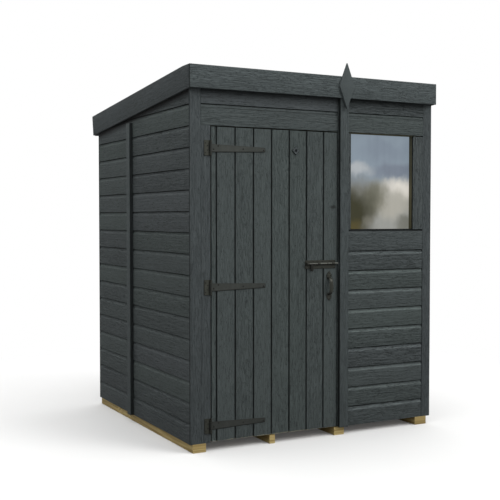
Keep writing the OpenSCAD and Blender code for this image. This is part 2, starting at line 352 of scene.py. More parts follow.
def rounded_rectangle(low: Place, high: Place, radius: float) -> np.ndarray:
    """The outline of a rectangle with quarter-circle corners.

    Args:
        low: Its low corner.
        high: Its high corner.
        radius: Radius of the corners.

    Returns:
        The points, one a row, anticlockwise.
    """
    left, right = low[0] + radius, high[0] - radius
    foot, head = low[1] + radius, high[1] - radius
    turns = (((left, foot), 180), ((right, foot), 270), ((right, head), 0), ((left, head), 90))
    return np.concatenate([arc(corner, radius, turn, turn + 90) for corner, turn in turns])


def corners(values: np.ndarray) -> np.ndarray:
    """The four corner values of each cell of a grid, in order round the cell.

    Args:
        values: Rows by columns, with or without a last axis.

    Returns:
        Cells by 4, with the same last axis.
    """
    cells = np.stack([values[:-1, :-1], values[:-1, 1:], values[1:, 1:], values[1:, :-1]], 2)
    return cells.reshape((-1, 4) + values.shape[2:])


def unit(rows: np.ndarray) -> np.ndarray:
    """Scales each row to length 1."""
    return rows / np.linalg.norm(rows, axis=1)[:, None]


def inset(outline: np.ndarray, distance: float) -> np.ndarray:
    """Draws a convex outline in: each corner moves along its bisector.

    Args:
        outline: Points of the outline, one a row.
        distance: How far each side moves in.

    Returns:
        The smaller outline, with as many points.
    """
    enter = unit(outline - np.roll(outline, 1, 0))
    leave = unit(np.roll(outline, -1, 0) - outline)
    bisector = leave - enter
    length = np.linalg.norm(bisector, axis=1)[:, None]
    middle = unit(outline.mean(0) - outline)
    bisector = np.where(length < 1e-6, middle, bisector / np.maximum(length, 1e-6))
    bisector *= np.sign((bisector * middle).sum(1))[:, None]
    sine = np.abs(enter[:, 0] * bisector[:, 1] - enter[:, 1] * bisector[:, 0])
    return outline + bisector * (distance / np.maximum(sine, 0.25))[:, None]


def closed_tube(rings: np.ndarray, first: np.ndarray, last: np.ndarray) -> np.ndarray:
    """Closes a tube, given as rings of points, with a middle point at each end."""
    ends = [np.broadcast_to(end, (1,) + rings.shape[1:]) for end in (first, last)]
    return np.concatenate([ends[0], rings, ends[1]])


class Shape:
    """Gathers surfaces as arrays and makes one mesh of them.

    Each surface is a grid of points with a grain coordinate at every point. Points
    of one piece that coincide are merged, so seams and poles are closed.
    """

    def __init__(self, seed: int, name: str, node: str = "", slot: str = "",
                 body: str = "shed") -> None:
        """Starts an empty shape.

        Args:
            seed: Seed of its random draws.
            name: Name of the piece that it becomes.
            node: Node of the construction that the piece stands for.
            slot: The record's material slot that the piece takes its finish from.
            body: Body that the piece moves with.
        """
        self.rng = np.random.default_rng(seed)
        self.name, self.node, self.slot, self.body = name, node, slot, body
        self.parts: dict[str, list[np.ndarray]] = {}
        self.count = self.piece = 0
        self.tone = 0.5

    def next_piece(self, tone: float | None = None) -> None:
        """Begins a piece that isn't merged with what came before."""
        self.piece += 1
        self.tone = float(self.rng.random()) if tone is None else tone

    def grid(self, points: np.ndarray, grain: np.ndarray, wrap: bool = False,
             slot: int | np.ndarray = 0, shade: float | np.ndarray = 0.0) -> None:
        """Adds the surface through a grid of points.

        Args:
            points: Rows by columns by 3.
            grain: Rows by columns by 2, one column more where the grid wraps.
            wrap: Whether the last column joins the first.
            slot: Material slot, one for the grid or one for each column of faces.
            shade: Painted shade of the points, up to 1; below 0 a painted highlight.
        """
        rows, cols = points.shape[:2]
        index = self.count + np.arange(rows * cols).reshape(rows, cols)
        if wrap:
            index = np.concatenate([index, index[:, :1]], 1)
        faces = index.shape[0] - 1, index.shape[1] - 1
        made = {"points": points.reshape(-1, 3), "pieces": np.full(rows * cols, self.piece),
                "tones": np.full(rows * cols, self.tone),
                "shades": np.broadcast_to(shade, (rows, cols)).reshape(-1),
                "quads": corners(index), "grain": corners(grain),
                "slots": np.broadcast_to(slot, faces).reshape(-1).astype(int)}
        for name, values in made.items():
            self.parts.setdefault(name, []).append(values)
        self.count += rows * cols

    def tube(self, points: np.ndarray, grain: np.ndarray, shade: float | np.ndarray,
             slot: int = 0) -> None:
        """Adds a surface that closes round on itself, with its grain shifted at random."""
        self.grid(points, grain + self.rng.uniform(0, 40, 2), wrap=True, slot=slot, shade=shade)

    def board(self, section: Section, lay: Lay, origin: Place, length: float,
              fall: float = 0.0, rake: tuple[float, float] = (0.0, 0.0),
              ceiling: Line | None = None,
              sway: float = 0.25 * MM, waver: float = 0.0, stations: int = 9,
              tone: float | None = None, shade: float = -2.0,
              end_shade: tuple[float, float] = (0.9, 0.9)) -> None:
        """Adds a board: its section carried along a straight line.

        A point is origin + s along + d out + (h - fall s) across, where s runs from
        rake[0] h / width to length + rake[1] h / width. The face wanders inwards by
        a sum of two sines of s, and the edges up and down by one, as sawn boards do.

        Args:
            section: The cross-section.
            lay: The way the board lies.
            origin: Where depth, height and length are all 0.
            length: Length of the board.
            fall: How far the board falls for each metre of its length.
            rake: How far the start and the end lean at the top of the section.
            ceiling: Gives the greatest height at a distance s, where it is cut.
            sway: How far the face wanders.
            waver: How far the edges wander.
            stations: Number of sections along the length.
            tone: The board's own tone from 0 to 1, or None for a random one.
            shade: The least shade anywhere on the board.
            end_shade: Painted shades of the start and the end, which fade out within a few
                millimetres; below 0 the end is painted paler.
        """
        self.next_piece(tone)
        ring, half = section.ring, len(section.front)
        near = min(2.5 * MM / length, 0.2)
        t = np.linspace(0, 1, stations)
        t = np.concatenate([[0, near], t[1:-1], [1 - near, 1]])[:, None]
        depth, height = (np.broadcast_to(c, (len(t), len(ring))) for c in ring.T)
        lean = height / max(float(np.ptp(ring[:, 1])), 1e-9)
        s = rake[0] * lean + t * (length + (rake[1] - rake[0]) * lean)
        turns = self.rng.uniform(0.4, 1.1, 2) * (length + 0.4)
        phase = self.rng.uniform(0, TURN, 4)
        wave = TURN * turns[:, None, None] * t
        ripple = (np.sin(wave[0] + phase[0]) + np.sin(wave[1] + phase[1])) / 2
        depth = depth - sway * (1 + ripple)
        height = height + waver * np.sin(wave[0] + phase[2])
        if ceiling is not None:
            height = np.minimum(height, ceiling(s))
        along, out, across = lay.axes
        points = (np.asarray(origin) + s[..., None] * along + depth[..., None] * out
                  + (height - fall * s)[..., None] * across)
        steps = np.linalg.norm(np.diff(np.vstack([ring, ring[:1]]), axis=0), axis=1)
        girth = np.concatenate([[0], np.cumsum(steps)])
        shift = self.rng.uniform(0, 40, 2)
        run = np.concatenate([s, s[:, :1]], 1) + shift[0]
        grain = np.stack([run, np.broadcast_to(girth + shift[1], run.shape)], -1)
        slot = (np.arange(len(ring)) >= half).astype(int)
        slot[-1] = 0
        # Painted shade of the section, darkened or painted paler at the two ends.
        shades = np.tile(np.maximum(section.shades, shade), (len(t), 1))
        for end, dark in zip((0, -1), end_shade):
            shades[end] = dark if dark < 0 else np.maximum(shades[end], dark)
        self.grid(points, grain, wrap=True, slot=slot, shade=shades)
        for end, dark in zip((0, -1), end_shade):
            face = np.stack([points[end, :half], points[end, half:][::-1]])
            local = np.stack([section.front, section.back]) + shift
            self.grid(face, local[..., ::-1] * (0.1, 1.0), slot=0, shade=dark)

    def fill(self, box: Extent, lay: Lay, ease: float = 1.5 * MM, edge_shade: float = 0.5,
             section: Section | None = None, lift: float = 0.0, **options: Any) -> None:
        """Adds a board with eased arrises that fills a box.

        Args:
            box: The box.
            lay: The way the board lies in it.
            ease: Radius of the arrises.
            edge_shade: Shade of the two edges.
            section: Another cross-section to use.
            lift: How far the start is raised.
            options: What else board() takes.
        """
        along, out, across = lay.axes
        origin = np.where(out > 0, box.high, box.low) + lift * across
        length, thickness, width = (float(np.abs(axis) @ box.size) for axis in (along, out, across))
        section = section or eased_section(width, thickness, ease, edge_shade)
        self.board(section, lay, origin, length, **options)

    def band(self, path: np.ndarray, origin: Place, thickness: float, width: float,
             shade: float) -> None:
        """Adds a bent flat strap: a thin rectangle carried along a path.

        The path lies in an upright plane, the strap is as wide across that plane, and
        its two faces are the path moved along its normal.

        Args:
            path: Points as (forward, up).
            origin: Where forward and up are 0, in the middle of its width.
            thickness: Thickness of the strap.
            width: Width of the strap.
            shade: Shade of the strap.
        """
        self.next_piece(0.5)
        along, out, across = Lay.FRONT_LEVEL.axes
        tangent = unit(np.gradient(path, axis=0))
        normal = np.stack([-tangent[:, 1], tangent[:, 0]], 1) * thickness / 2
        side = np.array([-1, 1, 1, -1])[None, :, None] * width / 2
        edge = path[:, None] + normal[:, None] * np.array([-1, -1, 1, 1])[None, :, None]
        points = (np.asarray(origin) + side * along + edge[..., :1] * out
                  + edge[..., 1:] * across)
        middle = points.mean(1, keepdims=True)
        points = closed_tube(points, middle[0], middle[-1])
        run = np.linspace(0, 0.05, len(points))[:, None]
        grain = np.stack(np.broadcast_arrays(run, np.linspace(0, 0.04, 5)[None]), -1)
        self.tube(points, grain, shade)

    def plate(self, outline: np.ndarray, origin: Place, thickness: float, bevel: float,
              lay: Lay = Lay.FRONT_LEVEL, tone: float | None = None, rim: float = 0.0,
              hole: float = 0.0, shade: float = 0.0) -> None:
        """Adds a flat plate with bevelled front edges.

        Rings of the outline are stacked from the back, at the full outline, to the
        face, where the outline is drawn in by the bevel, and close at its centre.

        Args:
            outline: Convex outline in length and width, one point a row.
            origin: Where length, width and depth are 0, depth 0 being the face.
            thickness: Thickness of the plate.
            bevel: Leg of the bevel.
            lay: The way the plate lies.
            tone: The plate's own tone, or None for a random one.
            rim: Width of a shaded band round the face, darkest along its lower edge.
            hole: Radius of a round recess at the face's centre.
            shade: The least shade anywhere on the plate.
        """
        self.next_piece(tone)
        middle = outline.mean(0)
        centre = np.broadcast_to(middle, outline.shape)
        # Painted shade: a band round the face, darkest along its lower edge, and a dark hole.
        low = np.where(outline[:, 1] < middle[1], 1.0, 0.5) * float(rim > 0)
        rings = [(centre, -thickness, low), (outline, -thickness, low), (outline, -bevel, low),
                 (inset(outline, bevel * 0.3), -0.3 * bevel, low),
                 (inset(outline, bevel), 0.0, low)]
        if rim:
            rings.append((inset(outline, rim), 0.0, 0 * low))
        if hole:
            edge = middle + hole * unit(outline - middle)
            rings += [(middle + (edge - middle) * 1.15, 0.0, 0 * low),
                      (edge, -0.4 * MM, 0 * low + 1), (edge, -1.2 * MM, 0 * low + 1)]
        rings.append((centre, -1.2 * MM if hole else 0.0, 0 * low + float(hole > 0)))
        along, out, across = lay.axes
        points = np.stack([
            np.asarray(origin) + flat[:, :1] * along + flat[:, 1:] * across + depth * out
            for flat, depth, _ in rings
        ])
        grain = np.stack([np.concatenate([flat, flat[:1]]) for flat, _, _ in rings])
        self.tube(points, grain, np.maximum(np.stack([dark for _, _, dark in rings]), shade))

    def turned(self, profile: np.ndarray, foot: Place, axis: Place, sides: int = 28,
               shade: float | np.ndarray = 0.0) -> None:
        """Adds a turned piece: a profile of (radius, height) spun round an axis.

        Args:
            profile: Radius and height, one point a row, closed at both ends.
            foot: Where the height is 0.
            axis: Unit vector of the height.
            sides: Number of steps round the axis.
            shade: Shade of the whole piece, or of each point of the profile.
        """
        self.next_piece()
        up = np.asarray(axis)
        side = np.cross(up, UPWARD if abs(up[2]) < 0.9 else LEVEL)
        other = np.cross(up, side)
        turn = np.linspace(0, TURN, sides, endpoint=False)
        spoke = np.cos(turn)[:, None] * side + np.sin(turn)[:, None] * other
        points = (np.asarray(foot) + profile[:, :1, None] * spoke[None]
                  + profile[:, 1:, None] * up)
        full = np.linspace(0, TURN, sides + 1)
        grain = np.stack(np.broadcast_arrays(full[None] * 0.005, profile[:, 1:]), -1)
        self.tube(points, grain, np.reshape(shade, (-1, 1)))

    def sweep(self, path: np.ndarray, radii: np.ndarray, level: Place, sides: int, slot: int,
              shade: np.ndarray) -> None:
        """Adds a bar of elliptical section carried along a path.

        At each point of the path the section lies across the tangent: one radius
        points along level, the other along the tangent crossed with level. The two
        ends close at their centres.

        Args:
            path: Points of the bar's centre line.
            radii: The two radii at each point of the path.
            level: Direction that the path never runs along.
            sides: Number of steps round the bar.
            slot: Material slot.
            shade: Shade at each point of the path.
        """
        self.next_piece()
        tangent = unit(np.gradient(path, axis=0))
        first = unit(np.asarray(level) - (tangent @ np.asarray(level))[:, None] * tangent)
        second = np.cross(tangent, first)
        turn = np.linspace(0, TURN, sides, endpoint=False)
        points = (path[:, None] + radii[:, :1, None] * np.cos(turn)[:, None] * first[:, None]
                  + radii[:, 1:, None] * np.sin(turn)[:, None] * second[:, None])
        points = closed_tube(points, path[0], path[-1])
        run = np.linspace(0, 0.1, len(points))[:, None]
        full = np.linspace(0, 0.03, sides + 1)[None]
        shade = np.concatenate([shade[:1], shade, shade[-1:]])[:, None]
        self.tube(points, np.stack(np.broadcast_arrays(run, full), -1), shade, slot)

    def screw(self, at: Place, radius: float = 3.6 * MM, proud: float = 1.6 * MM) -> None:
        """Adds a domed screw head with a cross recess, facing forward.

        The height over a disc of (r, angle) is proud (1 - r^2)^0.5, less a recess
        where the point lies within the arms of a cross.

        Args:
            at: Middle of the head, on the surface it stands on.
            radius: Radius of the head.
            proud: Height of the dome.
        """
        self.next_piece(0.5)
        up = np.array(FORWARD)
        side = np.cross(up, UPWARD)
        other = np.cross(up, side)
        spin = self.rng.uniform(0, math.pi)
        r = np.array([0, 0.16, 0.2, 0.42, 0.5, 0.75, 0.92, 1.0, 1.0])[:, None]
        turn = np.linspace(0, TURN, 24, endpoint=False)[None]
        x, y = r * np.cos(turn), r * np.sin(turn)
        arm = ((np.abs(x) < 0.19) | (np.abs(y) < 0.19)) & (r < 0.5)
        dome = proud * (0.35 + 0.65 * np.sqrt(np.clip(1 - r ** 2, 0, 1)))
        height = np.where(arm, dome - 0.9 * MM, dome)
        height[-1] = -0.5 * MM
        a, b = math.cos(spin), math.sin(spin)
        flat = radius * np.stack([a * x - b * y, b * x + a * y], -1)
        points = (np.asarray(at) + flat[..., :1] * side + flat[..., 1:] * other
                  + height[..., None] * up)
        base = np.broadcast_to(np.asarray(at) - 0.5 * MM * up, (1, 24, 3))
        points = np.concatenate([points, base])
        # The head is painted dark through the shade attribute.
        self.tube(points, np.zeros((len(points), 25, 2)), 0.85)

    def build(self, *materials: Material) -> bpy.types.Object:
        """Makes the mesh object, at the origin, with outward faces.

        Args:
            materials: Materials of its slots: of the faces, and of the backs if they differ.

        Returns:
            The object.
        """
        made = {part: np.concatenate(values) for part, values in self.parts.items()}
        key = np.column_stack([made["pieces"], np.round(made["points"] / 1e-6)]).astype(np.int64)
        _, first, merged = np.unique(key, axis=0, return_index=True, return_inverse=True)
        quads = merged.reshape(-1)[made["quads"]]
        differs = quads != np.roll(quads, -1, 1)
        kept = differs.sum(1) > 2
        quads, differs, grain = quads[kept], differs[kept], made["grain"][kept]
        sides = differs.sum(1)
        mesh = bpy.data.meshes.new(self.name)
        mesh.vertices.add(len(first))
        mesh.vertices.foreach_set("co", made["points"][first].astype(np.float32).reshape(-1))
        mesh.loops.add(int(sides.sum()))
        mesh.loops.foreach_set("vertex_index", quads[differs].astype(np.int32))
        mesh.polygons.add(len(sides))
        starts = np.concatenate([[0], np.cumsum(sides)[:-1]]).astype(np.int32)
        mesh.polygons.foreach_set("loop_start", starts)
        slots = np.minimum(made["slots"][kept], len(materials) - 1)
        mesh.polygons.foreach_set("material_index", slots.astype(np.int32))
        mesh.update(calc_edges=True)
        layer = mesh.uv_layers.new(name=GRAIN_MAP)
        layer.uv.foreach_set("vector", grain[differs].astype(np.float32).reshape(-1))
        for label, values in ((BOARD_TONE, made["tones"]), (PAINTED_SHADE, made["shades"])):
            attribute = mesh.attributes.new(label, "FLOAT", "POINT")
            attribute.data.foreach_set("value", values[first].astype(np.float32))
        mesh.validate()
        edit = bmesh.new()
        edit.from_mesh(mesh)
        bmesh.ops.recalc_face_normals(edit, faces=edit.faces)
        edit.to_mesh(mesh)
        edit.free()
        mesh.shade_smooth()
        mesh.set_sharp_from_angle(angle=math.radians(35.0))
        for material in materials:
            mesh.materials.append(material)
        obj = bpy.data.objects.new(self.name, mesh)
        bpy.context.scene.collection.objects.link(obj)
        return obj

    def place(self, obj: bpy.types.Object) -> None:
        """Hangs a finished object on the piece's body, where its node is, and reports it.

        Args:
            obj: What build() made of the piece.
        """
        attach(obj, self.body)
        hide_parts(self.node)
        log.info("%s: %d faces on %s, for %s", obj.name, len(obj.data.polygons), self.body,
                 self.node)

    def hang(self, *materials: Material) -> None:
        """Makes the mesh object and places it."""
        self.place(self.build(*materials))

    def hang_filled(self, lay: Lay, *materials: Material,
                    boxes: Sequence[Extent] | None = None, **options: Any) -> None:
        """Fills the node with plain boards, and places the piece.

        Args:
            lay: The way the boards lie.
            materials: Materials of the faces and of the backs.
            boxes: The boards' boxes, or None for the node's own one.
            options: What else fill() takes.
        """
        for box in boxes or [Extent.of(self.node)]:
            self.fill(box, lay, **options)
        self.hang(*materials)

    def hang_diamond(self, material: Material, bevel: float, embed: float = 0.0,
                     **options: Any) -> None:
        """Makes an upright rhombic plate of the node's box, and places the piece.

        Args:
            material: Its material.
            bevel: Leg of its bevel.
            embed: How far it runs into what is behind it.
            options: What else plate() takes.
        """
        box = Extent.of(self.node)
        wide, _, tall = box.size / 2
        tips = np.array([[-wide, 0], [0, -tall], [wide, 0], [0, tall]])
        t = np.arange(4)[:, None] / 4
        outline = np.concatenate([a + (b - a) * t for a, b in zip(tips, np.roll(tips, -1, 0))])
        self.plate(outline, (box.middle[0], box.low[1], box.middle[2]),
                   box.size[1] + embed, bevel, **options)
        self.hang(material)


# -------------------------------------------------------------------- finishes


class GrainWay(Enum):
    """Where a wooden surface's grain runs: by its own map, or by an order of the axes."""

    MAP = None
    ALONG_Z = (2, 0, 1)


class Tree:
    """A short way to lay out shader nodes."""

    def __init__(self, tree: bpy.types.NodeTree) -> None:
        """Works on an empty node tree."""
        self.tree = tree
        self.tree.nodes.clear()

    def node(self, kind: str, inputs: dict | None = None, **settings: Any) -> bpy.types.Node:
        """Adds a node.

        Args:
            kind: Type of the node, without its ShaderNode prefix.
            inputs: Socket name or index to a value or to a socket to link.
            settings: Properties of the node.

        Returns:
            The node.
        """
        made = self.tree.nodes.new(kind if kind.startswith("NodeGroup") else "ShaderNode" + kind)
        for name, value in settings.items():
            setattr(made, name, value)
        for name, value in (inputs or {}).items():
            if isinstance(value, Socket):
                self.tree.links.new(value, made.inputs[name])
            else:
                made.inputs[name].default_value = value
        return made

    def math(self, operation: str, *values: Any, clamp: bool = False) -> Socket:
        """Adds a Math node and gives its result."""
        made = self.node("Math", dict(enumerate(values)), operation=operation, use_clamp=clamp)
        return made.outputs[0]

    def vector(self, operation: str, *values: Any) -> Socket:
        """Adds a Vector Math node and gives its result."""
        return self.node("VectorMath", dict(enumerate(values)), operation=operation).outputs[0]

    def length(self, value: Socket) -> Socket:
        """Gives the length of a vector."""
        return self.node("VectorMath", {0: value}, operation="LENGTH").outputs["Value"]

    def part(self, vector: Socket, axis: int) -> Socket:
        """Gives one part of a vector."""
        return self.node("SeparateXYZ", {"Vector": vector}).outputs[axis]

    def shaded(self, tint: Socket, level: Socket) -> Socket:
        """Makes a colour lighter or darker: its three parts are multiplied by a level."""
        grey = self.node("CombineXYZ", {0: level, 1: level, 2: level}).outputs[0]
        return self.vector("MULTIPLY", tint, grey)

    def dimmed(self, level: Socket, value: Socket, share: float) -> Socket:
        """Gives a level less a share of itself, the more so the greater a value is."""
        return self.math("MULTIPLY", level, self.math("MULTIPLY_ADD", value, -share, 1.0))

    def place_at(self) -> Socket:
        """Gives the object coordinates."""
        return self.node("TexCoord").outputs["Object"]

    def attribute(self, name: str) -> Socket:
        """Gives one of the piece's own attributes."""
        return self.node("Attribute", attribute_name=name).outputs["Fac"]

    def grain(self, way: GrainWay) -> Socket:
        """Gives a coordinate that runs along the grain in X.

        Args:
            way: Where the coordinate comes from.

        Returns:
            The coordinate.
        """
        if way is GrainWay.MAP:
            return self.node("UVMap", uv_map=GRAIN_MAP).outputs[0]
        parts = self.node("SeparateXYZ", {"Vector": self.place_at()}).outputs
        return self.node("CombineXYZ", {i: parts[j] for i, j in enumerate(way.value)}).outputs[0]

    def group(self, name: str, **inputs: Any) -> bpy.types.bpy_prop_collection:
        """Adds a node group, with a _ for each space in its inputs, and gives its outputs."""
        named = {label.replace("_", " "): value for label, value in inputs.items()}
        return self.node("Group", named, node_tree=bpy.data.node_groups[name]).outputs

    def noise(self, vector: Socket, scale: float, detail: float = 2.0, roughness: float = 0.5,
              distortion: float = 0.0, output: int = 0) -> Socket:
        """Adds a Noise Texture and gives its value, or its colour as output 1."""
        return self.node("TexNoise", {"Vector": vector, "Scale": scale, "Detail": detail,
                                      "Roughness": roughness,
                                      "Distortion": distortion}).outputs[output]

    def cells(self, vector: Socket, scale: float = 1.0, **more: float) -> tuple[Socket, Socket]:
        """Adds a Voronoi Texture and gives its distance and a random number for each cell.

        Args:
            vector: Coordinate of the texture.
            scale: Its scale.
            more: Other inputs of the node.

        Returns:
            The distance and the number.
        """
        made = self.node("TexVoronoi", {"Vector": vector, "Scale": scale, **more}).outputs
        lot = self.node("SeparateColor", {"Color": made["Color"]}).outputs[0]
        return made["Distance"], lot

    def spread(self, value: Socket, low: float, high: float, to_low: float = 0.0,
               to_high: float = 1.0) -> Socket:
        """Maps a range of a value to another range, smoothly and within its ends."""
        return self.node("MapRange", {"Value": value, "From Min": low, "From Max": high,
                                      "To Min": to_low, "To Max": to_high},
                         interpolation_type="SMOOTHSTEP").outputs[0]

    def blend(self, share: Socket, first: Socket | Tint, second: Socket | Tint) -> Socket:
        """Mixes two colours by a share of the second and gives the result."""
        first, second = (value if isinstance(value, Socket) else (*value, 1.0)
                         for value in (first, second))
        return self.node("Mix", {0: share, 6: first, 7: second}, data_type="RGBA").outputs[2]

    def bump(self, height: Socket, distance: float, strength: float = 1.0,
             invert: bool = False) -> Socket:
        """Gives a normal tilted by a height."""
        return self.node("Bump", {"Height": height, "Distance": distance, "Strength": strength},
                         invert=invert).outputs[0]

    def seen(self) -> Socket:
        """Gives 1 where a surface is looked at, also through glass, and 0 where it lights.

        Returns:
            The number.
        """
        path = self.node("LightPath").outputs
        seen = self.math("MAXIMUM", path["Is Camera Ray"], path["Is Glossy Ray"])
        return self.math("MAXIMUM", seen, path["Is Transmission Ray"])

    def put_out(self, outputs: dict[str, Socket]) -> None:
        """Ends a node group: gives it an output for each named number."""
        for label in outputs:
            self.tree.interface.new_socket(label, in_out="OUTPUT", socket_type="NodeSocketFloat")
        self.node("NodeGroupOutput", outputs)


def start_group(name: str, inputs: dict[str, Any]) -> tuple[Tree, dict[str, Socket]]:
    """Starts a shader node group with named inputs.

    Args:
        name: Name of the group.
        inputs: Name to default value: a number, or three numbers for a vector.

    Returns:
        The group's tree helper, and its inputs by name.
    """
    group = bpy.data.node_groups.new(name, "ShaderNodeTree")
    for label, value in inputs.items():
        kind = "NodeSocketVector" if isinstance(value, tuple) else "NodeSocketFloat"
        group.interface.new_socket(label, in_out="INPUT", socket_type=kind).default_value = value
    tree = Tree(group)
    enter = tree.node("NodeGroupInput").outputs
    return tree, {label: enter[label] for label in inputs}


def wood_grain_group() -> None:
    """Growth rings along a board, wrapped round knots.

    The coordinate runs along the grain in X and across it in Y and Z, in metres.
    The ring coordinate is the distance across, bent by a slow noise and pushed out
    round scattered knots; noise of that coordinate, stretched along the board,
    gives the rings, and a finer one gives the fibres. The waves are the raised
    ripples that weather leaves, a slow noise along the grain and a quick one across
    it, and the veins are the thin lines along which that noise passes each fifth.
    """
    tree, enter = start_group("wood_grain", {"Grain": (0.0, 0.0, 0.0),
                                             "Rings per metre": 110.0, "Knots": 0.5})
    grain = enter["Grain"]
    drift = tree.noise(tree.vector("MULTIPLY", grain, (1.1, 7.0, 7.0)), 1.0)
    away, lot = tree.cells(tree.vector("MULTIPLY", grain, (2.1, 5.2, 5.2)), Randomness=0.9)
    rare = tree.math("LESS_THAN", lot, enter["Knots"])
    near = tree.math("MULTIPLY", tree.spread(away, 0.0, 0.34, 1.0, 0.0), rare)
    heart = tree.math("MULTIPLY", tree.spread(away, 0.03, 0.075, 1.0, 0.0), rare)
    bend = tree.math("MULTIPLY_ADD", drift, 0.05, tree.math("MULTIPLY", near, 0.035))
    parts = tree.node("SeparateXYZ", {"Vector": grain}).outputs
    rings_at = [tree.math("MULTIPLY", tree.math("ADD", parts[i], bend), enter["Rings per metre"])
                for i in (1, 2)]
    stretched = tree.node("CombineXYZ", {0: tree.math("MULTIPLY", parts[0], 2.4),
                                         1: rings_at[0], 2: rings_at[1]}).outputs[0]
    rings = tree.spread(tree.noise(stretched, 1.0, 2.0, 0.55), 0.32, 0.68)
    fine = tree.vector("MULTIPLY", stretched, (7.0, 4.2, 4.2))
    fibres = tree.spread(tree.noise(fine, 1.0, 2.0, 0.6), 0.25, 0.75)
    height = tree.math("ADD", tree.math("MULTIPLY", rings, 0.7), tree.math("MULTIPLY", fibres, 0.3))
    height = tree.math("SUBTRACT", height, tree.math("MULTIPLY", heart, 0.35))
    swell = tree.noise(tree.vector("MULTIPLY", grain, (11.0, 120.0, 120.0)), 1.0, 2.0, 0.5, 0.9)
    near_line = tree.math("PINGPONG", tree.math("MULTIPLY", swell, 5.0), 0.5)
    tree.put_out({"Rings": rings, "Fibres": fibres, "Knots": heart,
                  "Waves": tree.spread(swell, 0.25, 0.75),
                  "Veins": tree.spread(near_line, 0.0, 0.16, 1.0, 0.0), "Height": height})


def weather_group() -> None:
    """Slow unevenness of a surface out of doors, and painted shade that darkens it towards the
    ground.
    """
    tree, enter = start_group("weather", {"Place": (0.0, 0.0, 0.0), "Splash height": 0.3})
    at = enter["Place"]
    # Painted shade near the ground, with a ragged top edge.
    ragged = tree.math("ADD", tree.part(at, 2), tree.math("MULTIPLY", tree.noise(at, 14.0), 0.12))
    ground_shade = tree.math("SUBTRACT", 1.0, tree.math("DIVIDE", ragged, enter["Splash height"]),
                       clamp=True)
    tree.put_out({"Patches": tree.noise(at, 3.0, 3.0, 0.55),
                  "Specks": tree.spread(tree.noise(at, 260.0, 2.0, 0.6), 0.62, 0.78),
                  "Groundshade": ground_shade})


@dataclass(frozen=True)
class Finish:
    """A finish: a material with a Principled shader."""

    name: str

    def sockets(self, tree: Tree) -> dict[str, Any]:
        """Gives the shader's inputs, each a value or the socket of a node in the tree."""
        raise NotImplementedError

    def surface(self, tree: Tree, shader: Socket) -> Socket:
        """Gives what the surface shows, which is the Principled shader alone."""
        return shader

    def material(self) -> Material:
        """Builds the material.

        Returns:
            The material.
        """
        material = bpy.data.materials.new(self.name)
        material.use_nodes = True
        tree = Tree(material.node_tree)
        shader = tree.node("BsdfPrincipled", self.sockets(tree)).outputs[0]
        tree.node("OutputMaterial", {"Surface": self.surface(tree, shader)})
        return material


@dataclass(frozen=True)
class Mark:
    """A ragged spot of one colour on an upright face, in object coordinates."""

    tint: Tint
    x: float
    z: float
    wide: float
    tall: float
    scale: float
    cover: float

    def over(self, tree: Tree, place_at: Socket, paint: Socket) -> Socket:
        """Gives the paint with the mark on it, broken up by noise towards its edge.

        Args:
            tree: The material's tree.
            place_at: Object coordinates.
            paint: The colour so far.

        Returns:
            The colour with the mark.
        """
        away = tree.vector("SUBTRACT", place_at, (self.x, 0.0, self.z))
        away = tree.length(tree.vector("MULTIPLY", away, (1 / self.wide, 0.0, 1 / self.tall)))
        rough = tree.math("MULTIPLY", tree.noise(place_at, self.scale), 1.6)
        cover = tree.spread(tree.math("ADD", away, rough), 1.15, 1.35, self.cover, 0.0)
        return tree.blend(cover, paint, self.tint)


@dataclass(frozen=True)
class Eaves:
    """Where a fascia's foot runs over a wall, and how dark the painted shadow below it is."""

    foot: float
    fall: float
    start: float
    reach: float
    darkest: float

    def level(self, tree: Tree, place_at: Socket) -> Socket:
        """Gives how light the paint is under the painted shadow, rising evenly below foot - fall y.

        Args:
            tree: The material's tree.
            place_at: Object coordinates.

        Returns:
            The level, from the darkest to 1.
        """
        parts = tree.node("SeparateXYZ", {"Vector": place_at}).outputs
        foot = tree.math("MULTIPLY_ADD", parts[1], -self.fall, self.foot)
        below = tree.math("SUBTRACT", foot, parts[2])
        rise = tree.math("MULTIPLY_ADD", below, 1 / self.reach, -self.start / self.reach,
                         clamp=True)
        return tree.math("MAXIMUM", rise, self.darkest)


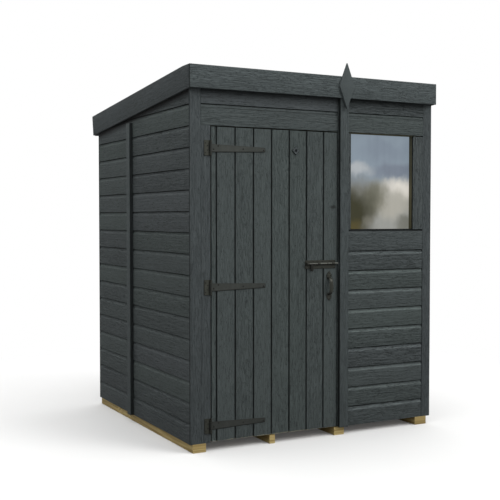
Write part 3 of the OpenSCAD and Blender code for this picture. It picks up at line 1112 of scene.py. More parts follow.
@dataclass(frozen=True)
class PaintedWood(Finish):
    """Opaque matt paint over boards whose grain shows through as relief."""

    base: Tint
    other: Tint
    streak: float = 0.10
    fine: float = 0.40
    veins: float = 0.62
    tone_range: float = 0.09
    relief: float = 2.6 * MM
    roughness: float = 0.78
    rings: float = 110.0
    ground_shade: float = 0.26
    crowding: float = 1.0
    marks: tuple[Mark, ...] = ()
    eaves: Eaves | None = None

    def sockets(self, tree: Tree) -> dict[str, Any]:
        """Lays out the paint on the grain map, the tone and the recess.

        Each board's tone picks its lightness, its hue between the two paints and
        how strongly its grain stands out. The recess attribute gives painted shade,
        and a painted highlight below 0; painted shade also darkens the paint towards
        the ground and, with eaves, under the fascia.

        Args:
            tree: The material's tree.

        Returns:
            The shader's inputs.
        """
        crowded = (1.0, self.crowding, self.crowding)
        grain = tree.vector("MULTIPLY", tree.grain(GrainWay.MAP), crowded)
        wood = tree.group("wood_grain", Grain=grain, Rings_per_metre=self.rings, Knots=0.3)
        at, tone = tree.place_at(), tree.attribute(BOARD_TONE)
        shade_and_wear = tree.group("weather", Place=at, Splash_height=2.1)
        level = 1.0
        for value, share in ((wood["Rings"], self.streak), (wood["Fibres"], self.fine),
                             (tone, self.tone_range), (wood["Veins"], -self.veins),
                             (shade_and_wear["Patches"], 0.22)):
            change = tree.math("MULTIPLY", tree.math("SUBTRACT", value, 0.5), share)
            level = tree.math("ADD", level, change)
        level = tree.math("SUBTRACT", level, tree.math("MULTIPLY", shade_and_wear["Specks"], 0.08))
        # Painted shade: by the recess attribute, towards the ground, and under the eaves.
        level = tree.dimmed(level, tree.attribute(PAINTED_SHADE), 0.8)
        level = tree.dimmed(level, shade_and_wear["Groundshade"], self.ground_shade)
        if self.eaves is not None:
            level = tree.math("MULTIPLY", level, self.eaves.level(tree, at))
        hue = tree.math("FRACT", tree.math("MULTIPLY", tone, 7.31))
        paint = tree.shaded(tree.blend(hue, self.base, self.other), level)
        for mark in self.marks:
            paint = mark.over(tree, at, paint)
        swell = tree.math("FRACT", tree.math("MULTIPLY", tone, 3.77))
        swell = tree.math("MULTIPLY_ADD", swell, 1.3, 0.25)
        ripple = tree.math("MULTIPLY_ADD", wood["Veins"], -0.5, wood["Waves"])
        height = tree.math("MULTIPLY_ADD", ripple, swell,
                           tree.math("MULTIPLY", wood["Height"], 0.6))
        rough = tree.math("MULTIPLY_ADD", wood["Fibres"], 0.14, self.roughness - 0.07)
        return {"Base Color": paint, "Roughness": rough, "Specular IOR Level": 0.08,
                "Normal": tree.bump(height, self.relief)}


@dataclass(frozen=True)
class BareWood(Finish):
    """Sawn or planed softwood without paint."""

    early: Tint
    late: Tint
    way: GrainWay = GrainWay.MAP
    rings: float = 140.0
    roughness: float = 0.75

    def sockets(self, tree: Tree) -> dict[str, Any]:
        """Lays out light early wood, darker late wood, brown knots and stains.

        Args:
            tree: The material's tree.

        Returns:
            The shader's inputs.
        """
        wood = tree.group("wood_grain", Grain=tree.grain(self.way), Rings_per_metre=self.rings,
                          Knots=0.45)
        shade_and_wear = tree.group("weather", Place=tree.place_at())
        late = tuple(c * 0.55 for c in self.late)
        tint = tree.blend(wood["Rings"], self.early, self.late)
        for share, dark in ((tree.math("MULTIPLY", wood["Fibres"], 0.3), late),
                            (tree.math("MULTIPLY", wood["Knots"], 0.8), [c * 0.6 for c in late]),
                            (tree.spread(shade_and_wear["Patches"], 0.35, 0.7, 0.0, 0.35),
                             [c * 0.7 for c in self.late])):
            tint = tree.blend(share, tint, dark)
        return {"Base Color": tint, "Roughness": self.roughness, "Specular IOR Level": 0.25,
                "Normal": tree.bump(wood["Height"], 0.5 * MM)}


@dataclass(frozen=True)
class BlackIron(Finish):
    """Black-finished ironwork, weathered grey and rubbed here and there."""

    base: Tint = (0.042, 0.044, 0.036)
    rubbed: Tint = (0.054, 0.056, 0.046)
    metallic: float = 0.1
    roughness: float = 0.6

    def sockets(self, tree: Tree) -> dict[str, Any]:
        """Lays out dull metal with painted shade: darker in recesses, where it faces down and near
        the ground.

        Args:
            tree: The material's tree.

        Returns:
            The shader's inputs.
        """
        at = tree.place_at()
        patches = tree.noise(at, 40.0, 3.0, 0.6)
        metal = tree.blend(tree.spread(patches, 0.4, 0.75, 0.0, 0.8), self.base, self.rubbed)
        # Painted shade towards the ground, where the metal faces down, and by the recess attribute.
        metal = tree.shaded(metal, tree.spread(tree.part(at, 2), 0.0, 1.7, 0.54, 1.0))
        facing = tree.node("NewGeometry").outputs["Normal"]
        down = tree.spread(tree.part(facing, 2), -0.75, 0.0, 0.9, 0.0)
        shade_mask = tree.math("MAXIMUM", tree.math("MULTIPLY", tree.attribute(PAINTED_SHADE), 0.92), down)
        return {"Base Color": tree.blend(shade_mask, metal, (0.006, 0.006, 0.005)),
                "Roughness": tree.math("MULTIPLY_ADD", patches, 0.2, self.roughness - 0.1),
                "Metallic": self.metallic, "Specular IOR Level": 0.14,
                "Normal": tree.bump(tree.noise(at, 900.0), 0.1 * MM, 0.6)}


@dataclass(frozen=True)
class RoofFelt(Finish):
    """Mineral-faced felt: dark bitumen with pale and dark grit."""

    def sockets(self, tree: Tree) -> dict[str, Any]:
        """Lays out rough dark patches with raised grit.

        Args:
            tree: The material's tree.

        Returns:
            The shader's inputs.
        """
        at = tree.place_at()
        away, lot = tree.cells(at, 520.0)
        patches = tree.noise(at, 4.0, 4.0, 0.6)
        dark = tree.blend(patches, (0.020, 0.023, 0.024), (0.045, 0.048, 0.048))
        grit = tree.spread(lot, 0.45, 1.0, 0.0, 0.55)
        return {"Base Color": tree.blend(grit, dark, (0.12, 0.125, 0.125)), "Roughness": 0.9,
                "Normal": tree.bump(away, 0.8 * MM, 0.8, invert=True)}


@dataclass(frozen=True)
class StrandBoard(Finish):
    """Pressed board of long pale flakes."""

    def sockets(self, tree: Tree) -> dict[str, Any]:
        """Lays out overlapping flakes in several browns.

        Args:
            tree: The material's tree.

        Returns:
            The shader's inputs.
        """
        at = tree.place_at()
        warped = tree.vector("MULTIPLY_ADD", tree.noise(at, 9.0, output=1), (0.05,) * 3, at)
        layers = [tree.cells(tree.vector("MULTIPLY", warped, stretch))[1]
                  for stretch in ((14.0, 55.0, 30.0), (50.0, 16.0, 30.0))]
        flakes = tree.blend(layers[0], (0.42, 0.28, 0.13), (0.26, 0.15, 0.06))
        other = tree.blend(layers[1], (0.50, 0.35, 0.17), (0.30, 0.19, 0.08))
        pick = tree.math("GREATER_THAN", layers[1], 0.5)
        return {"Base Color": tree.blend(pick, flakes, other), "Roughness": 0.7,
                "Normal": tree.bump(layers[0], 0.4 * MM, 0.5)}


@dataclass(frozen=True)
class SoftSpot:
    """A soft-edged oval of one colour in the pane's painted reflection, placed as shares of its
    sides.
    """

    tint: Tint
    across: float
    up: float
    wide: float
    tall: float
    strength: float

    def over(self, tree: Tree, at: Socket, view: Socket) -> Socket:
        """Gives the view with the spot over it, by a smooth step of the distance from it.

        Args:
            tree: The material's tree.
            at: Place on the pane.
            view: The colour so far.

        Returns:
            The colour with the spot.
        """
        away = tree.vector("DIVIDE", tree.vector("SUBTRACT", at, (self.across, 0.0, self.up)),
                           (self.wide, 1.0, self.tall))
        return tree.blend(tree.spread(tree.length(away), 0.25, 1.0, self.strength, 0.0), view,
                          self.tint)


@dataclass(frozen=True)
class PaintedReflectionPane(Finish):
    """A pane with a painted, glowing reflection of a soft garden sky: pale cloud over a hedge,
    grey-blue above.
    """

    zenith: Tint = (0.235, 0.285, 0.335)
    haze: Tint = (0.30, 0.305, 0.285)
    spots: tuple[SoftSpot, ...] = (
        SoftSpot((0.18, 0.215, 0.265), 0.62, 0.84, 0.55, 0.16, 0.6),
        SoftSpot((0.165, 0.19, 0.235), 0.78, 0.63, 0.60, 0.13, 0.8),
        SoftSpot((0.44, 0.46, 0.47), 0.13, 0.64, 0.38, 0.11, 0.8),
        SoftSpot((0.68, 0.65, 0.59), 0.92, 0.43, 0.56, 0.16, 0.97),
        SoftSpot((0.40, 0.385, 0.335), 0.78, 0.26, 0.46, 0.22, 0.85),
        SoftSpot((0.14, 0.135, 0.09), 0.42, 0.32, 0.28, 0.28, 0.7),
        SoftSpot((0.040, 0.039, 0.020), 0.05, 0.17, 0.58, 0.48, 0.99),
        SoftSpot((0.20, 0.19, 0.15), 0.36, 0.10, 0.16, 0.10, 0.4),
        SoftSpot((0.085, 0.070, 0.026), 0.02, 0.0, 0.34, 0.18, 0.9),
        SoftSpot((0.13, 0.13, 0.105), 0.98, 0.04, 0.30, 0.14, 0.7),
    )

    def sockets(self, tree: Tree) -> dict[str, Any]:
        """Lays out the view on object coordinates.

        The place on the pane is stirred by a slow noise, and each spot covers what
        came before. The painted reflection mostly glows by itself, so it doesn't dim
        where the pane is shaded.

        Args:
            tree: The material's tree.

        Returns:
            The shader's inputs.
        """
        pane = Extent.of("window_pane")
        from_low = tree.vector("SUBTRACT", tree.place_at(), tuple(pane.low))
        share = tree.vector("DIVIDE", from_low, tuple(pane.size))
        flat = tree.vector("MULTIPLY", share, (1.0, 0.0, 1.0))
        stir = tree.vector("SUBTRACT", tree.noise(flat, 3.4, 3.0, 0.55, output=1), (0.5,) * 3)
        moved = tree.vector("MULTIPLY_ADD", stir, (0.34, 0.0, 0.26), flat)
        view = tree.blend(tree.spread(tree.part(moved, 2), 0.40, 0.62), self.haze, self.zenith)
        for spot in self.spots:
            view = spot.over(tree, moved, view)
        streaks = tree.noise(tree.vector("MULTIPLY", flat, (16.0, 0.0, 1.0)), 1.0, 1.0)
        view = tree.shaded(view, tree.math("MULTIPLY_ADD", streaks, 0.12, 0.94))
        return {"Base Color": tree.vector("MULTIPLY", view, (0.1,) * 3), "Emission Color": view,
                "Emission Strength": 0.93, "Roughness": 0.10, "Specular IOR Level": 0.1}


@dataclass(frozen=True)
class PaneBack(Finish):
    """The same pane from the room, with painted daylight in it."""

    def sockets(self, tree: Tree) -> dict[str, Any]:
        """Lays out pale painted daylight with a slight unevenness.

        Args:
            tree: The material's tree.

        Returns:
            The shader's inputs.
        """
        film = tree.noise(tree.place_at(), 5.0)
        return {"Base Color": tree.blend(film, (0.56, 0.60, 0.61), (0.66, 0.69, 0.70)),
                "Roughness": 0.12}


@dataclass(frozen=True)
class PaleFloor(Finish):
    """A pale matte floor that turns into plain white with distance."""

    def sockets(self, tree: Tree) -> dict[str, Any]:
        """Lays out a faintly uneven floor that throws little light back.

        Args:
            tree: The material's tree.

        Returns:
            The shader's inputs.
        """
        faint = tree.noise(tree.place_at(), 2.0)
        pale = tree.blend(faint, (0.66, 0.66, 0.655), (0.68, 0.68, 0.675))
        return {"Base Color": tree.blend(tree.seen(), (0.15, 0.15, 0.15), pale),
                "Roughness": 0.9, "Specular IOR Level": 0.1}

    def surface(self, tree: Tree, shader: Socket) -> Socket:
        """Mixes in white by the distance from the shed, where the floor is looked at.

        Args:
            tree: The material's tree.
            shader: The Principled shader's output.

        Returns:
            What the floor shows.
        """
        fade = tree.spread(tree.length(tree.place_at()), 1.2, 3.2, 0.05, 1.0)
        white = tree.node("Emission", {"Color": (1, 1, 1, 1), "Strength": 1.0}).outputs[0]
        share = tree.math("MULTIPLY", fade, tree.seen())
        return tree.node("MixShader", {0: share, 1: shader, 2: white}).outputs[0]


class Finishes:
    """Every finish of the shed, built once."""

    def __init__(self) -> None:
        """Builds the node groups and then the materials that use them."""
        wood_grain_group()
        weather_group()
        paints = np.array([[0.0555, 0.067, 0.065], [0.0575, 0.0655, 0.068]])
        trims = (0.0605, 0.0725, 0.0725), (0.0625, 0.0710, 0.0745)
        # The reveal's wood is far darker than the other bare wood: treated wood, with the reveal's
        # painted shade in its colour.
        dim = (0.125, 0.116, 0.066), (0.075, 0.070, 0.040)
        # Painted shadows under the side and front fascias.
        fascia, fall = Extent.of("left_fascia"), RoofPlane.of_sheet().fall
        side = Eaves(fascia.low[2] + fall * (fascia.high[1] - 20 * MM), fall, 10 * MM, 42 * MM,
                     0.0)
        front = Eaves(Extent.of("front_fascia_left").low[2], 0.0, -45 * MM, 112 * MM, 0.3)
        self.boards = PaintedWood("painted_boards", *paints, eaves=front).material()
        # The side walls take a darker copy of the paint, as painted shade.
        self.shaded_side_boards = PaintedWood("painted_side_boards", *(paints * 0.92),
                                       eaves=side).material()
        self.trim = PaintedWood("painted_trim", *trims, veins=0.5, tone_range=0.22,
                                relief=2.0 * MM, rings=90.0, ground_shade=0.38,
                                crowding=1.35).material()
        self.smooth = PaintedWood("smooth_trim", *trims, streak=0.04, fine=0.08, veins=0.08,
                                  relief=0.4 * MM).material()
        self.door = PaintedWood("painted_door", *paints, marks=self.door_marks()).material()
        self.inside = BareWood("board_backs", (0.46, 0.33, 0.18), (0.33, 0.21, 0.10)).material()
        self.painted = self.boards, self.inside
        self.reveal = BareWood("reveal_wood", *dim).material()
        self.bearer = BareWood("treated_pine", (0.47, 0.37, 0.16), (0.23, 0.160, 0.056),
                               rings=90.0).material()
        self.floor = BareWood("floor_boards", (0.46, 0.33, 0.18), (0.34, 0.22, 0.11),
                              roughness=0.6).material()
        self.iron = BlackIron("black_iron").material()
        self.strap_iron = BlackIron("strap_iron", (0.041, 0.045, 0.0405),
                                    (0.054, 0.058, 0.053)).material()
        self.bow_iron = BlackIron("bow_iron", metallic=0.3, roughness=0.32).material()
        self.bright_iron = BlackIron("bright_iron", (0.096, 0.100, 0.087),
                                     (0.134, 0.139, 0.121), 0.35, 0.36).material()
        self.felt = RoofFelt("mineral_felt").material()
        self.strand = StrandBoard("strand_board").material()
        self.pane = PaintedReflectionPane("painted_reflection_pane").material()
        self.pane_back = PaneBack("pane_back").material()
        self.beads = BareWood("bead_wood", *dim, way=GrainWay.ALONG_Z).material()

    @staticmethod
    def door_marks() -> tuple[Mark, ...]:
        """Places the chips along the door's foot and the specks by its handle.

        Returns:
            The marks.
        """
        leaf, chip = Extent.of("door_leaf"), (0.23, 0.24, 0.22)
        x, z = leaf.low[0], leaf.low[2]
        chips = tuple(Mark(chip, x + along, z, wide, 9 * MM, 160.0, 0.85)
                      for along, wide in ((0.018, 0.028), (0.126, 0.016), (0.248, 0.016)))
        specks = Mark((0.012, 0.012, 0.011), leaf.high[0] - 0.028, z + 1.283, 0.046, 0.022,
                      420.0, 0.6)
        foot = Mark((0.15, 0.148, 0.11), leaf.middle[0], z, 0.62, 9 * MM, 120.0, 0.8)
        return chips + (specks, foot)

    @staticmethod
    def dress(node: str, material: Material) -> None:
        """Gives a node of the construction, whose own mesh is shown, its finish.

        Args:
            node: Name of the node.
            material: The finish.
        """
        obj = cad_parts[node]
        obj.data.materials.clear()
        obj.data.materials.append(material)
        log.info("%s: dressed in %s", node, material.name)


# ------------------------------------------------------------------ the timber


@dataclass
class Base:
    """Bearers and the floor that lies on them."""

    finishes: Finishes
    board_pitch: float = 121 * MM

    def build(self) -> None:
        """Builds the bearers, and the floor as tongued boards from side to side."""
        bearers = Shape(11, "bearer_boards", "bearers", "treated_pine")
        bearers.hang_filled(Lay.FLAT_DEEP, self.finishes.bearer, boxes=parts_of("bearers"),
                            ease=2.5 * MM, stations=15)
        deck = Extent.of("floor_deck")
        count = round(deck.size[1] / self.board_pitch)
        width = deck.size[1] / count
        section = grooved_section(width, deck.size[2], 0.8 * MM, 0.2 * MM, 1.6 * MM)
        boards = Shape(12, "floor_boards", "floor_deck", "floor_boards")
        for row in range(count):
            origin = (deck.low[0], deck.low[1] + row * width, deck.high[2])
            boards.board(section, Lay.FLAT_ACROSS, origin, deck.size[0], sway=0.15 * MM)
        boards.hang(self.finishes.floor)


@dataclass
class Cladding:
    """Shiplap boards in level courses that start at the foot of the walls."""

    pitch: float = 114.7 * MM
    thickness: float = 12 * MM

    def courses(self, low: float, high: float, rise: float = 0.0) -> list[tuple[float, float]]:
        """Gives the foot and head of each course between two heights.

        Args:
            low: Foot of the stretch.
            high: Head of the stretch.
            rise: How much higher the stretch's board lines are than the shared ones.

        Returns:
            The courses, with heads on the board lines.
        """
        foot = Extent.of("front_trim_left").low[2] + rise
        first = int(round((low - foot) / self.pitch))
        last = int(math.ceil((high - foot) / self.pitch - 0.02))
        return [(max(low, foot + row * self.pitch), foot + (row + 1) * self.pitch)
                for row in range(first, last)]

    def panel(self, shape: Shape, box: Extent, lay: Lay, roof: RoofPlane | None = None,
              style: Cove = Cove.DULL, rise: float = 0.0) -> None:
        """Adds the courses of one panel.

        Args:
            shape: Where the boards go.
            box: Extent of the panel.
            lay: The way the boards lie.
            roof: The plane that cuts the top, or None where it is cut level.
            style: The painted highlight and shade over the coves.
            rise: How much higher the board lines are than the shared ones.
        """
        along, out, _ = lay.axes
        origin = np.where(out > 0, box.high, box.low)
        length = float(along @ box.size)
        for foot, head in self.courses(box.low[2], box.high[2], rise):
            run, ceiling = length, None
            if roof is not None:
                run = min(length, (roof.height(box.low[1]) - foot) / roof.fall - 1 * MM)
            if roof is not None or head > box.high[2] - 0.5 * MM:
                ceiling = self.ceiling(box, foot, roof)
            origin[2] = foot
            # The foot of every course but the lowest carries painted shade.
            section = shiplap_section(head - foot, self.thickness, style,
                                      foot_shade=float(foot >= box.low[2] + 1 * MM))
            shape.board(section, lay, origin, run, ceiling=ceiling, waver=0.35 * MM,
                        stations=17)

    @staticmethod
    def ceiling(box: Extent, foot: float, roof: RoofPlane | None) -> Line:
        """Gives the height left over a course's foot, at each distance along the panel.

        Args:
            box: Extent of the panel.
            foot: Height of the course's foot.
            roof: The plane that cuts the top, or None for a level cut.

        Returns:
            A function of the distance from the panel's start.
        """
        if roof is None:
            return lambda s: np.full_like(s, box.high[2] - foot)
        return lambda s: roof.height(box.low[1] + s) - foot

    def clad(self, shape: Shape, lay: Lay, materials: Sequence[Material],
             box: Extent | None = None, **options: Any) -> None:
        """Makes a piece of one panel, and places it.

        Args:
            shape: The piece.
            lay: The way the boards lie.
            materials: Materials of the faces and of the backs.
            box: Extent of the panel, or None for that of the piece's node.
            options: What else panel() takes.
        """
        self.panel(shape, box or Extent.of(shape.node), lay, **options)
        shape.hang(*materials)


@dataclass
class FrontWall:
    """The front: trims, door jamb, door header, and the panel with the window."""

    finishes: Finishes
    cladding: Cladding
    joint: float = 31 * MM
    top_rise: float = 4.5 * MM
    sill_gap: float = 2.5 * MM
    strip_gap: float = 3 * MM
    socket_r: float = 6 * MM
    socket_depth: float = 22 * MM

    def build(self) -> None:
        """Builds the front cladding, its trims and the proud strip."""
        upright = {"trim_left_board": "front_trim_left", "jamb_board": "door_jamb_board",
                   "trim_right_board": "front_trim_right"}
        for seed, (name, node) in enumerate(upright.items(), 21):
            # Painted shade on the edges and at the top end, faintly at the foot.
            Shape(seed, name, node, "painted_trim").hang_filled(
                Lay.FRONT_UPRIGHT, self.finishes.trim, self.finishes.inside, ease=1.8 * MM,
                stations=25, tone=0.5, end_shade=(0.2, 0.9), edge_shade=0.75)
        painted = self.finishes.painted
        joint = Extent.of("front_joint_board")
        start = joint.low[0] + self.joint
        over = Extent.of("window_header").trimmed(x0=start)
        self.cladding.clad(Shape(24, "header_boards", "front_header", "painted_boards"),
                           Lay.FRONT_LEVEL, painted, style=Cove.LINED, rise=self.top_rise)
        Shape(25, "joint_backing", "front_joint_board", "painted_boards").hang_filled(
            Lay.FRONT_UPRIGHT, *painted, boxes=[joint.trimmed(x1=start)])
        self.apron(start)
        self.stiles(start)
        self.cladding.clad(Shape(28, "over_window_boards", "window_header", "painted_boards"),
                           Lay.FRONT_LEVEL, painted, over, style=Cove.LINED,
                           rise=self.top_rise)
        self.strip()

    def apron(self, start: float) -> None:
        """Builds the courses under the window, the last of which is its flat sill.

        Args:
            start: Left end of the boards.
        """
        low = Shape(26, "apron_boards", "window_apron", "painted_boards")
        apron = Extent.of(low.node)
        rows = self.cladding.courses(apron.low[2], apron.high[2])
        thin = rows[-1][0] > apron.high[2] - 0.5 * self.cladding.pitch
        top = rows[-2 if thin else -1][0]
        under = apron.trimmed(x0=start, x1=apron.high[0] - self.sill_gap, z1=top)
        self.cladding.panel(low, under, Lay.FRONT_LEVEL, style=Cove.BRIGHT)
        sill = shiplap_section(apron.high[2] - top, self.cladding.thickness, Cove.PLAIN,
                               hollow=0.6 * MM, slot=8.5 * MM, rebate=5.5 * MM)
        low.board(sill, Lay.FRONT_LEVEL, (start, apron.low[1], top), apron.high[0] - start,
                  stations=17)
        low.hang(*self.finishes.painted)

    def stiles(self, start: float) -> None:
        """Builds the upright boards on both sides of the window.

        Args:
            start: Left edge of the first one.
        """
        stiles = Shape(27, "window_stiles", "window_side_board", "painted_boards")
        side = Extent.of(stiles.node)
        end = side.low[0] - Extent.of("window_pane").size[0]
        stiles.fill(side.trimmed(x0=start, x1=end), Lay.FRONT_UPRIGHT, tone=0.5)
        # Painted shade on the edges and at the foot.
        stiles.fill(side, Lay.FRONT_UPRIGHT, stations=17, tone=0.5, edge_shade=0.9,
                    end_shade=(0.7, 0.0))
        stiles.hang(*self.finishes.painted)

    def strip(self) -> None:
        """Builds the proud strip, with the round socket that the bolt enters."""
        strip = Shape(29, "front_strip_board", "front_strip", "painted_trim")
        box, rod = Extent.of(strip.node), Extent.of("bolt_rod")
        # Painted shade on the strip's edges.
        strip.fill(box.trimmed(x0=box.low[0] + self.strip_gap), Lay.FRONT_UPRIGHT,
                   ease=2.2 * MM, stations=25, tone=0.45, edge_shade=0.95)
        board = strip.build(self.finishes.trim)
        radius, depth = self.socket_r, self.socket_depth
        profile = np.array([[0, 0], [radius, 0], [radius, 2 * depth], [0, 2 * depth]])
        drill = Shape(30, "socket_drill")
        drill.turned(profile, (box.low[0] - depth, rod.low[1] + Bolt.rod_r,
                               rod.high[2] - Bolt.rod_r), LEVEL, sides=32)
        cut_away(board, drill.build(self.finishes.trim))
        strip.place(board)


def cut_away(obj: bpy.types.Object, tool: bpy.types.Object) -> None:
    """Cuts one closed shape out of another, and removes the tool.

    Args:
        obj: The piece that is cut.
        tool: The shape that is cut out of it.
    """
    cut = obj.modifiers.new("cut", "BOOLEAN")
    cut.operation, cut.solver, cut.object = "DIFFERENCE", "EXACT", tool
    seen = obj.evaluated_get(bpy.context.evaluated_depsgraph_get())
    mesh = bpy.data.meshes.new_from_object(seen)
    obj.modifiers.clear()
    obj.data = mesh
    bpy.data.objects.remove(tool)


@dataclass
class SideWalls:
    """Both sides: two panels of shiplap boards each, and the strip over their joint."""

    finishes: Finishes
    cladding: Cladding
    roof: RoofPlane

    def build(self) -> None:
        """Builds the four panels and the two strips."""
        painted = (self.finishes.shaded_side_boards, self.finishes.inside)
        sides = {"left": (Lay.LEFT_LEVEL, Lay.LEFT_UPRIGHT),
                 "right": (Lay.RIGHT_LEVEL, Lay.RIGHT_UPRIGHT)}
        for seed, (side, (level, _)) in enumerate(sides.items(), 31):
            for part in ("front", "back"):
                boards = Shape(10 * seed + len(part), f"{side}_{part}_boards",
                               f"{side}_wall_{part}", "painted_boards")
                self.cladding.clad(boards, level, painted, roof=self.roof)
        shape = Shape(34, "side_strip_boards", "side_strips", "painted_trim")
        for box, (_, upright) in zip(parts_of("side_strips"), sides.values()):
            # Painted shade on the strips' edges.
            shape.fill(box, upright, ease=2 * MM, stations=25, tone=0.6,
                       edge_shade=0.8)
        shape.hang(self.finishes.trim)


@dataclass
class BackWall:
    """The back: two panels of shiplap boards, corner trims and a strip."""

    finishes: Finishes
    cladding: Cladding

    def build(self) -> None:
        """Builds the panels, the trims and the strip."""
        for seed, side in enumerate(("left", "right"), 41):
            boards = Shape(seed, f"back_{side}_boards", f"back_wall_{side}", "painted_boards")
            self.cladding.clad(boards, Lay.BACK_LEVEL, self.finishes.painted)
        Shape(43, "back_trim_boards", "back_trims", "painted_trim").hang_filled(
            Lay.BACK_UPRIGHT, self.finishes.trim, boxes=parts_of("back_trims"), stations=17,
            tone=0.5)
        Shape(44, "back_strip_board", "back_strip", "painted_trim").hang_filled(
            Lay.BACK_UPRIGHT, self.finishes.trim, ease=2 * MM, stations=17)


@dataclass
class Framing:
    """Sawn studs, rails and purlins inside."""

    finishes: Finishes
    roof: RoofPlane

    def build(self) -> None:
        """Builds every stick of each framing node."""
        lays = {
            "front_studs": (Lay.BACK_UPRIGHT,), "front_rails": (Lay.BACK_LEVEL,),
            "side_studs": (Lay.RIGHT_UPRIGHT, Lay.LEFT_UPRIGHT),
            "side_rails": (Lay.RIGHT_LEVEL, Lay.LEFT_LEVEL),
            "back_studs": (Lay.FRONT_UPRIGHT,), "back_rails": (Lay.FRONT_LEVEL,),
        }
        for seed, (node, choice) in enumerate(lays.items(), 51):
            sticks = Shape(seed, node + "_sawn", node, "sawn_softwood")
            for box in parts_of(node):
                lay = choice[0] if box.middle[0] < 0 else choice[-1]
                sticks.fill(box, lay, stations=7, **self.slope(box, lay))
            # The front framing, seen in the window's reveal, takes the darker reveal wood with
            # painted shade in it.
            wood = self.finishes.reveal if node.startswith("front") else self.finishes.inside
            sticks.hang(wood)
        self.purlins()

    def purlins(self) -> None:
        """Builds the purlins, whose tops and undersides follow the roof."""
        purlins = Shape(58, "purlins_sawn", "purlins", "sawn_softwood")
        for box in parts_of("purlins"):
            width, drop = box.size[1], self.roof.fall * box.size[1]
            top = np.array([[0.0, 0.0], [-drop, width]])
            low = top - (box.size[2] - drop, 0.0)
            purlins.board(Section(top, low), Lay.FLAT_ACROSS,
                          (box.low[0], box.low[1], box.high[2]), box.size[0], sway=0.0)
        purlins.hang(self.finishes.inside)

    def slope(self, box: Extent, lay: Lay) -> dict[str, Any]:
        """Gives what cuts or leans a side stick to the roof's slope.

        Args:
            box: The stick's box.
            lay: The way it lies.

        Returns:
            Options for the board: a leaning end for a stud that meets the roof, or
            a fall for the rail under it.
        """
        under = self.roof.height(box.low[1])
        if abs(box.high[2] - under) > 1 * MM or lay.axes[1][0] == 0:
            return {}
        drop = self.roof.fall * box.size[1]
        if lay.axes[0][2] > 0:
            return {"rake": (0.0, -drop)}
        section = eased_section(box.size[2] - drop, box.size[0])
        return {"fall": self.roof.fall, "lift": drop, "section": section}


@dataclass
class Roof:
    """The felted roof and the fascias round it."""

    finishes: Finishes
    roof: RoofPlane
    run_width: float = 0.9
    lap: float = 75 * MM
    step: float = 6 * MM
    ply: float = 1.5 * MM
    turn_down: float = 16 * MM
    rake: float = 20 * MM
    side_rise: float = 7 * MM

    def build(self) -> None:
        """Builds the felt, the fascias and the diamond, and dresses the roof sheet."""
        self.finishes.dress("roof_deck", self.finishes.strand)
        self.felt()
        for seed, side in enumerate(("left", "right"), 62):
            front = Shape(seed, f"front_fascia_board_{side}", f"front_fascia_{side}",
                          "painted_trim")
            front.hang_filled(Lay.FRONT_LEVEL, self.finishes.trim, ease=2.5 * MM, stations=25,
                              tone=1.0)
            self.side_fascia(seed + 10, side)
        Shape(66, "back_fascia_board", "back_fascia", "painted_trim").hang_filled(
            Lay.BACK_LEVEL, self.finishes.trim, ease=2 * MM, stations=25)
        Shape(67, "finial_diamond", "finial", "painted_trim").hang_diamond(
            self.finishes.smooth, 1.5 * MM, tone=1.0)

    def felt(self) -> None:
        """Builds the felt in runs, each lapping over the one below it.

        Across the slope the top of a run is the roof's plane less half the felt's
        thickness, and the whole thickness over the lap, joined by a smooth step.
        """
        runs = Shape(61, "felt_runs", "roof_felt", "roof_felt")
        box = Extent.of(runs.node)
        fall, ply = self.roof.fall, self.ply
        y = np.linspace(0, box.size[1], 61)
        lap_from = box.size[1] - self.run_width
        step = np.clip((y - lap_from + self.lap) / self.step, 0, 1)
        under = np.clip((y - lap_from) / self.step, 0, 1)
        upper = -fall * y - ply * (1 - step * (1 - under)) - 0.1 * MM
        ripple = 0.25 * MM * np.sin(y * 23.0) * np.sin(y * 9.0 + 1.0)
        face = np.stack([upper - np.abs(ripple), y], 1)
        back = np.stack([-fall * y - 2 * ply, y], 1)
        runs.board(Section(face, back), Lay.FLAT_ACROSS, (box.low[0], box.low[1], box.high[2]),
                   box.size[0], sway=0.0, stations=60)
        edge = rounded_rectangle((-box.high[0], -self.turn_down), (-box.low[0], 0), 1 * MM)
        runs.plate(edge, (0, box.high[1] + ply, box.high[2] - fall * box.size[1]), ply, 0.5 * MM,
                   Lay.BACK_LEVEL)
        runs.hang(self.finishes.felt)

    def side_fascia(self, seed: int, side: str) -> None:
        """Builds a side fascia, which falls with the roof and ends upright at the back.

        Args:
            seed: Seed of its random draws.
            side: Which side it is on.
        """
        edge = Shape(seed, f"{side}_fascia_board", f"{side}_fascia", "painted_trim")
        box = Extent.of(edge.node)
        lay = Lay.LEFT_LEVEL if side == "left" else Lay.RIGHT_LEVEL
        length = box.size[1] - self.rake
        origin = np.where(lay.axes[1] > 0, box.high, box.low)
        origin[2] = box.low[2] + self.roof.fall * length
        level = box.high[2] - origin[2]
        # Tone -1.0 paints the side fascia darker than the random range, as painted shade.
        edge.board(eased_section(level + self.side_rise, box.size[0], 2 * MM), lay, origin,
                   length, fall=self.roof.fall, rake=(0.0, self.rake),
                   ceiling=lambda s: level + self.roof.fall * s, stations=37,
                   tone=-1.0)
        edge.hang(self.finishes.trim)


# ---------------------------------------------------------- window and the door


@dataclass
class Window:
    """The fixed pane in its bare reveal."""

    finishes: Finishes

    def build(self) -> None:
        """Builds the pane and dresses the beads behind it."""
        Shape(71, "pane_sheet", "window_pane", "window_glass").hang_filled(
            Lay.FRONT_UPRIGHT, self.finishes.pane, self.finishes.pane_back, ease=0.3 * MM,
            sway=0.0, stations=2)
        self.finishes.dress("window_beads", self.finishes.beads)


